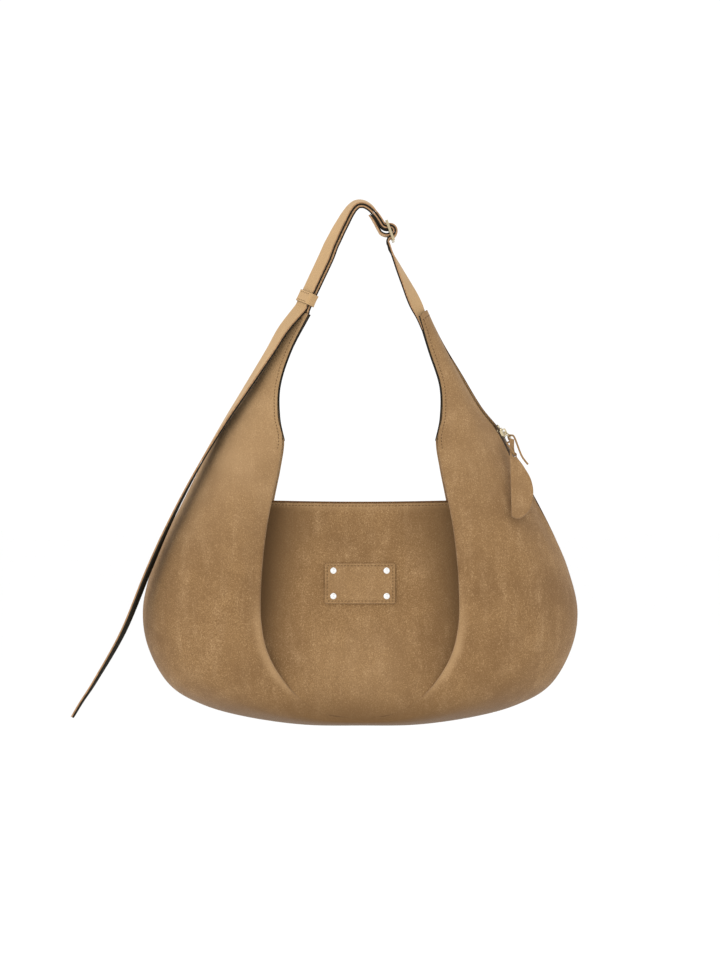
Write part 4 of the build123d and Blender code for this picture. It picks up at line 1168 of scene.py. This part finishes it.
# The thong's route, in metres: out of the tag's eye, up and through the ring, down again to its loose end.
THONG_ROUTE = [
    (0.1607, -0.0209, -0.2614), (0.1607, -0.0248, -0.2596), (0.1559, -0.0220, -0.2521),
    (0.1529, -0.0115, -0.2479),
    (0.1580, -0.0061, -0.2463), (0.1559, -0.0021, -0.2436), (0.1554, -0.0017, -0.2396),
    (0.1591, -0.0032, -0.2397),
    (0.1613, -0.0088, -0.2405), (0.1651, -0.0250, -0.2539), (0.1687, -0.0295, -0.2640),
    (0.1743, -0.0323, -0.2704)]


class HOBO_OT_thong(bpy.types.Operator):
    """The leather thong that ties the tag to the slider's ring"""
    bl_idname = "hobo.thong"
    bl_label = "Pull thong"

    def execute(self, context):
        curve = bpy.data.curves.new("thong", "CURVE")
        curve.dimensions, curve.resolution_u = "3D", 12
        curve.bevel_depth, curve.bevel_resolution, curve.use_fill_caps = sizes().thong / 2, 3, True
        spline = curve.splines.new("NURBS")
        spline.points.add(len(THONG_ROUTE) - 1)
        for point, place in zip(spline.points, THONG_ROUTE):
            point.co = (*place, 1)
        spline.order_u = 3
        spline.use_endpoint_u = True
        obj = bpy.data.objects.new("thong", curve)
        bpy.context.scene.collection.objects.link(obj)
        dress(obj, "pull", "thong_leather", ["pull_thong"], FINISHES["thong"])
        return {"FINISHED"}


# ---------------------------------------------------------------- zip
ZIP_TOP, ZIP_BOTTOM = flat_point(147.0, -231.5), flat_point(203.0, -347.0)
ZIP_ALONG = (ZIP_BOTTOM - ZIP_TOP).normalized()
ZIP_EDGE = Vector((-ZIP_ALONG.z, 0, ZIP_ALONG.x))
ZIP_TILT = math.radians(15)
ZIP_INSET, ZIP_SLIT, TAPE_WIDTH = 2.2, 0.9, 5.2
TAPE_RUN = [(-0.03, 0), (0.25, 0), (0.5, 0), (0.75, 0), (1.02, 0.2),
            (1.16, 3.0)]     # share of the zip, sunk inward
ZIP_OUT = ZIP_EDGE * math.cos(ZIP_TILT) - Y * math.sin(ZIP_TILT)
ZIP_ACROSS = Y * math.cos(ZIP_TILT) + ZIP_EDGE * math.sin(ZIP_TILT)


class HOBO_OT_zip(bpy.types.Operator):
    """The zip in the right edge: woven tapes, coil, stops, slider and ring"""
    bl_idname = "hobo.zip"
    bl_label = "Zip"

    def execute(self, context):
        origin = ZIP_TOP - ZIP_EDGE * ZIP_INSET
        length = (ZIP_BOTTOM - ZIP_TOP).length
        for word, side in (("front", -1), ("back", 1)):
            places = []
            for share, sunk in TAPE_RUN:
                centre = origin + ZIP_ALONG * (length * share) - ZIP_EDGE * sunk
                centre += ZIP_ACROSS * (side * (ZIP_SLIT + TAPE_WIDTH) / 2)
                places.append((centre, ZIP_ACROSS, ZIP_OUT, TAPE_WIDTH))
            obj = strip("woven_tape_" + word, places, 60, 6, 0.7, rim=0, bevel=0.15)
            dress(obj, "bag", "zip_tape", ["zip_tape_" + word], FINISHES["zip_tape"])
        for node, finish in (("zip_teeth_front", "coil"), ("zip_teeth_back", "coil"),
                             ("zip_top_stop", "gold"),
                             ("zip_bottom_stop", "gold"), ("zip_slider", "gold"), ("pull_ring", "gold"),
                             ("buckle_frame", "gold"), ("patch_rivets", "nickel"),
                             ("patch_rivet_caps", "nickel")):
            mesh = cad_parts[node].data
            if not mesh.materials:
                mesh.materials.append(FINISHES[finish])
            for k in range(len(mesh.materials)):
                mesh.materials[k] = FINISHES[finish]
        return {"FINISHED"}


# ---------------------------------------------------------------- stitching
def sew(name, line, body, nodes=()):
    """A row of stitches. line is a list of (point, normal) close together along the seam, in millimetres."""
    stitch, thread = sizes().stitch / MM, sizes().thread / MM
    pitch = stitch * 1.45
    bm = bmesh.new()
    travelled, due = 0.0, pitch / 2
    for (a, normal_a), (b, _) in zip(line, line[1:]):
        step = (b - a).length
        if step < 1e-6:
            continue
        along = (b - a) / step
        while due <= travelled + step:
            point = a + along * (due - travelled)
            normal = (normal_a - along * normal_a.dot(along)).normalized()
            side = normal.cross(along)
            turn = Matrix((along, side, normal)).transposed().to_4x4()
            size = Matrix.Diagonal((stitch / 2, thread / 2, thread / 2, 1))
            lift = Matrix.Translation((point + normal * thread * 0.12) * MM)
            bmesh.ops.create_uvsphere(bm, u_segments=6, v_segments=4, radius=1.0,
                                      matrix=lift @ turn @ Matrix.Scale(MM, 4) @ size)
            due += pitch
        travelled += step
    obj = mesh_object(name, bm)
    return obj


MOUTH_SEAM, HANDLE_SEAM = 3.0, 3.2      # from the edge to the stitching


class HOBO_OT_stitching(bpy.types.Operator):
    """The rows of stitching on the handles, mouth, patch and keeper"""
    bl_idname = "hobo.stitching"
    bl_label = "Stitching"

    def execute(self, context):
        for word, side in (("front", 1), ("back", -1)):
            wings = Wings(side)
            for hand, sign in (("left", -1), ("right", 1)):
                self.handle_rows(wings, word, hand, sign)
            half = fold_x(Z_MOUTH) + 6
            line = []
            for k in range(201):
                x = half * (k / 100 - 1)
                z = mouth_z(x) - MOUTH_SEAM
                line.append((Vector((x, -side * (panel_depth(z) + 0.05), z)), Vector((0, -side, 0.13))))
            self.place(sew("mouth_stitching_" + word, line, "bag"), "bag")
        self.patch_row()
        self.keeper_rows()
        return {"FINISHED"}

    def place(self, obj, body):
        dress(obj, body, "suede_pale" if body == "keeper" else "suede", [], FINISHES["thread"])

    def handle_rows(self, wings, word, hand, sign):
        line = []
        for k in range(241):
            rib = CORNER - 0.35 + (len(RIBS) - 1.15 - CORNER + 0.35) * k / 240
            place = wings.middle + sign * rib
            width = (wings.surface(place, 1.0) - wings.surface(place, 0.7)).length / 0.3
            point = wings.draped(place, 1.0 - HANDLE_SEAM / width)
            line.append((point, wings.front(place)))
        self.place(sew(f"handle_stitching_{word}_{hand}", line, "bag"), "bag")
        across = []
        place = wings.middle + sign * (len(RIBS) - 1 - 0.16)
        for k in range(31):
            across.append((wings.draped(place, 0.12 + 0.8 * k / 30), wings.front(place)))
        self.place(sew(f"tip_stitching_{word}_{hand}", across, "bag"), "bag")

    def patch_row(self):
        matrix = panel_matrix(PATCH_Z)
        w, h, top = PATCH[0] / 2 - PATCH_SEAM, PATCH[1] / 2 - PATCH_SEAM, PATCH_LIFT + PATCH[2]
        normal = (matrix.to_3x3() @ Z).normalized()
        corners = [(-w, -h), (w, -h), (w, h), (-w, h), (-w, -h)]
        line = []
        for (x0, y0), (x1, y1) in zip(corners, corners[1:]):
            for k in range(20):
                spot = Vector((x0 + (x1 - x0) * k / 20, y0 + (y1 - y0) * k / 20, top))
                line.append((matrix @ (spot * MM) / MM, normal))
        self.place(sew("patch_stitching", line, "bag"), "bag")

    def keeper_rows(self):
        centre, across, normal, _ = framed(leg_stops(13.1, 14.1, 1))[0]
        surface = centre + normal * (STRAP_SPACING / 2 + (STRAP_THICK + STRAP_SPACING) / 2 + 0.45 + 1.62)
        for word, place in (("low", -4.3), ("high", 4.3)):
            line = [(surface + LEG_RUN * place + across * (9.0 * (k / 10 - 1)), normal) for k in range(21)]
            self.place(sew("keeper_stitching_" + word, line, "keeper"), "keeper")


# ---------------------------------------------------------------- stage
CAMERA_HEIGHT = -0.2867
CAMERA_DISTANCE = 2.80
FLOOR = -0.86


class HOBO_OT_stage(bpy.types.Operator):
    """The camera, the pale floor under the bag, and soft studio light"""
    bl_idname = "hobo.stage"
    bl_label = "Stage"

    def execute(self, context):
        scene = bpy.context.scene
        scene.view_settings.view_transform = "Standard"
        camera = bpy.data.cameras.new("camera")
        camera.lens, camera.sensor_width, camera.clip_start, camera.clip_end = 100.0, 36.0, 0.05, 30.0
        holder = bpy.data.objects.new("camera", camera)
        holder.location = (0.0, -CAMERA_DISTANCE, CAMERA_HEIGHT)
        holder.rotation_euler = (math.radians(90), 0, 0)
        scene.collection.objects.link(holder)
        scene.camera = holder
        self.floor()
        self.light("key", (-1.9, -2.6, 0.7), (0, 0, -0.33), 2.4, 30.0)
        self.light("fill", (1.9, -2.0, 0.3), (0, 0, -0.33), 1.8, 5.0)
        self.light("top", (0.0, 0.2, 1.9), (0, 0, -0.33), 1.6, 4.0)
        world = bpy.data.worlds.new("studio")
        world.use_nodes = True
        sky = world.node_tree.nodes["Background"]
        sky.inputs["Color"].default_value = (1.0, 1.0, 1.0, 1.0)
        sky.inputs["Strength"].default_value = 1.06
        scene.world = world
        return {"FINISHED"}

    def floor(self):
        bm = bmesh.new()
        bmesh.ops.create_grid(bm, x_segments=2, y_segments=2, size=30.0)
        bmesh.ops.translate(bm, vec=(0, 0, FLOOR), verts=bm.verts)
        obj = mesh_object("floor", bm)
        paper = bpy.data.materials.new("paper")
        paper.use_nodes = True
        shader = paper.node_tree.nodes["Principled BSDF"]
        fleck = noise_at(paper.node_tree, add(paper.node_tree, "ShaderNodeTexCoord").outputs["Object"], 3.0,
                         2.0)
        tone = mix_colour(paper.node_tree, fleck, (0.93, 0.93, 0.93, 1), (0.96, 0.96, 0.955, 1))
        paper.node_tree.links.new(tone, shader.inputs["Base Color"])
        shader.inputs["Roughness"].default_value = 0.9
        obj.data.materials.append(paper)

    def light(self, name, place, target, size, power):
        data = bpy.data.lights.new(name, "AREA")
        data.shape, data.size, data.energy = "DISK", size, power
        obj = bpy.data.objects.new(name, data)
        obj.location = place
        obj.rotation_euler = (Vector(target) - Vector(place)).to_track_quat("-Z", "Y").to_euler()
        bpy.context.scene.collection.objects.link(obj)


class HOBO_PT_bag(bpy.types.Panel):
    """Sizes, colours and makers of the bag"""
    bl_idname = "HOBO_PT_bag"
    bl_label = "Hobo bag"
    bl_space_type = "VIEW_3D"
    bl_region_type = "UI"
    bl_category = "Hobo bag"

    def draw(self, context):
        column = self.layout.column(align=True)
        for group in (context.scene.hobo_sizes, context.scene.hobo_looks):
            for name in group.__annotations__:
                column.prop(group, name)
        for maker in MAKERS:
            column.operator(maker.bl_idname)


MAKERS = (HOBO_OT_finishes, HOBO_OT_stage, HOBO_OT_thong, HOBO_OT_wings, HOBO_OT_panels, HOBO_OT_facing,
          HOBO_OT_linings, HOBO_OT_bindings, HOBO_OT_patch, HOBO_OT_zip, HOBO_OT_tag, HOBO_OT_straps,
          HOBO_OT_keeper, HOBO_OT_stitching)
CLASSES = (HOBO_PG_sizes, HOBO_PG_looks) + MAKERS + (HOBO_PT_bag,)


def register():
    for cls in CLASSES:
        bpy.utils.register_class(cls)
    bpy.types.Scene.hobo_sizes = bpy.props.PointerProperty(type=HOBO_PG_sizes)
    bpy.types.Scene.hobo_looks = bpy.props.PointerProperty(type=HOBO_PG_looks)


def unregister():
    del bpy.types.Scene.hobo_looks
    del bpy.types.Scene.hobo_sizes
    for cls in reversed(CLASSES):
        bpy.utils.unregister_class(cls)


def corners(box):
    return [[float(value) for value in corner] for corner in box]


def main():
    register()
    for maker in MAKERS:
        group, name = maker.bl_idname.split(".")
        getattr(getattr(bpy.ops, group), name)()


if __name__ == "__main__":
    main()
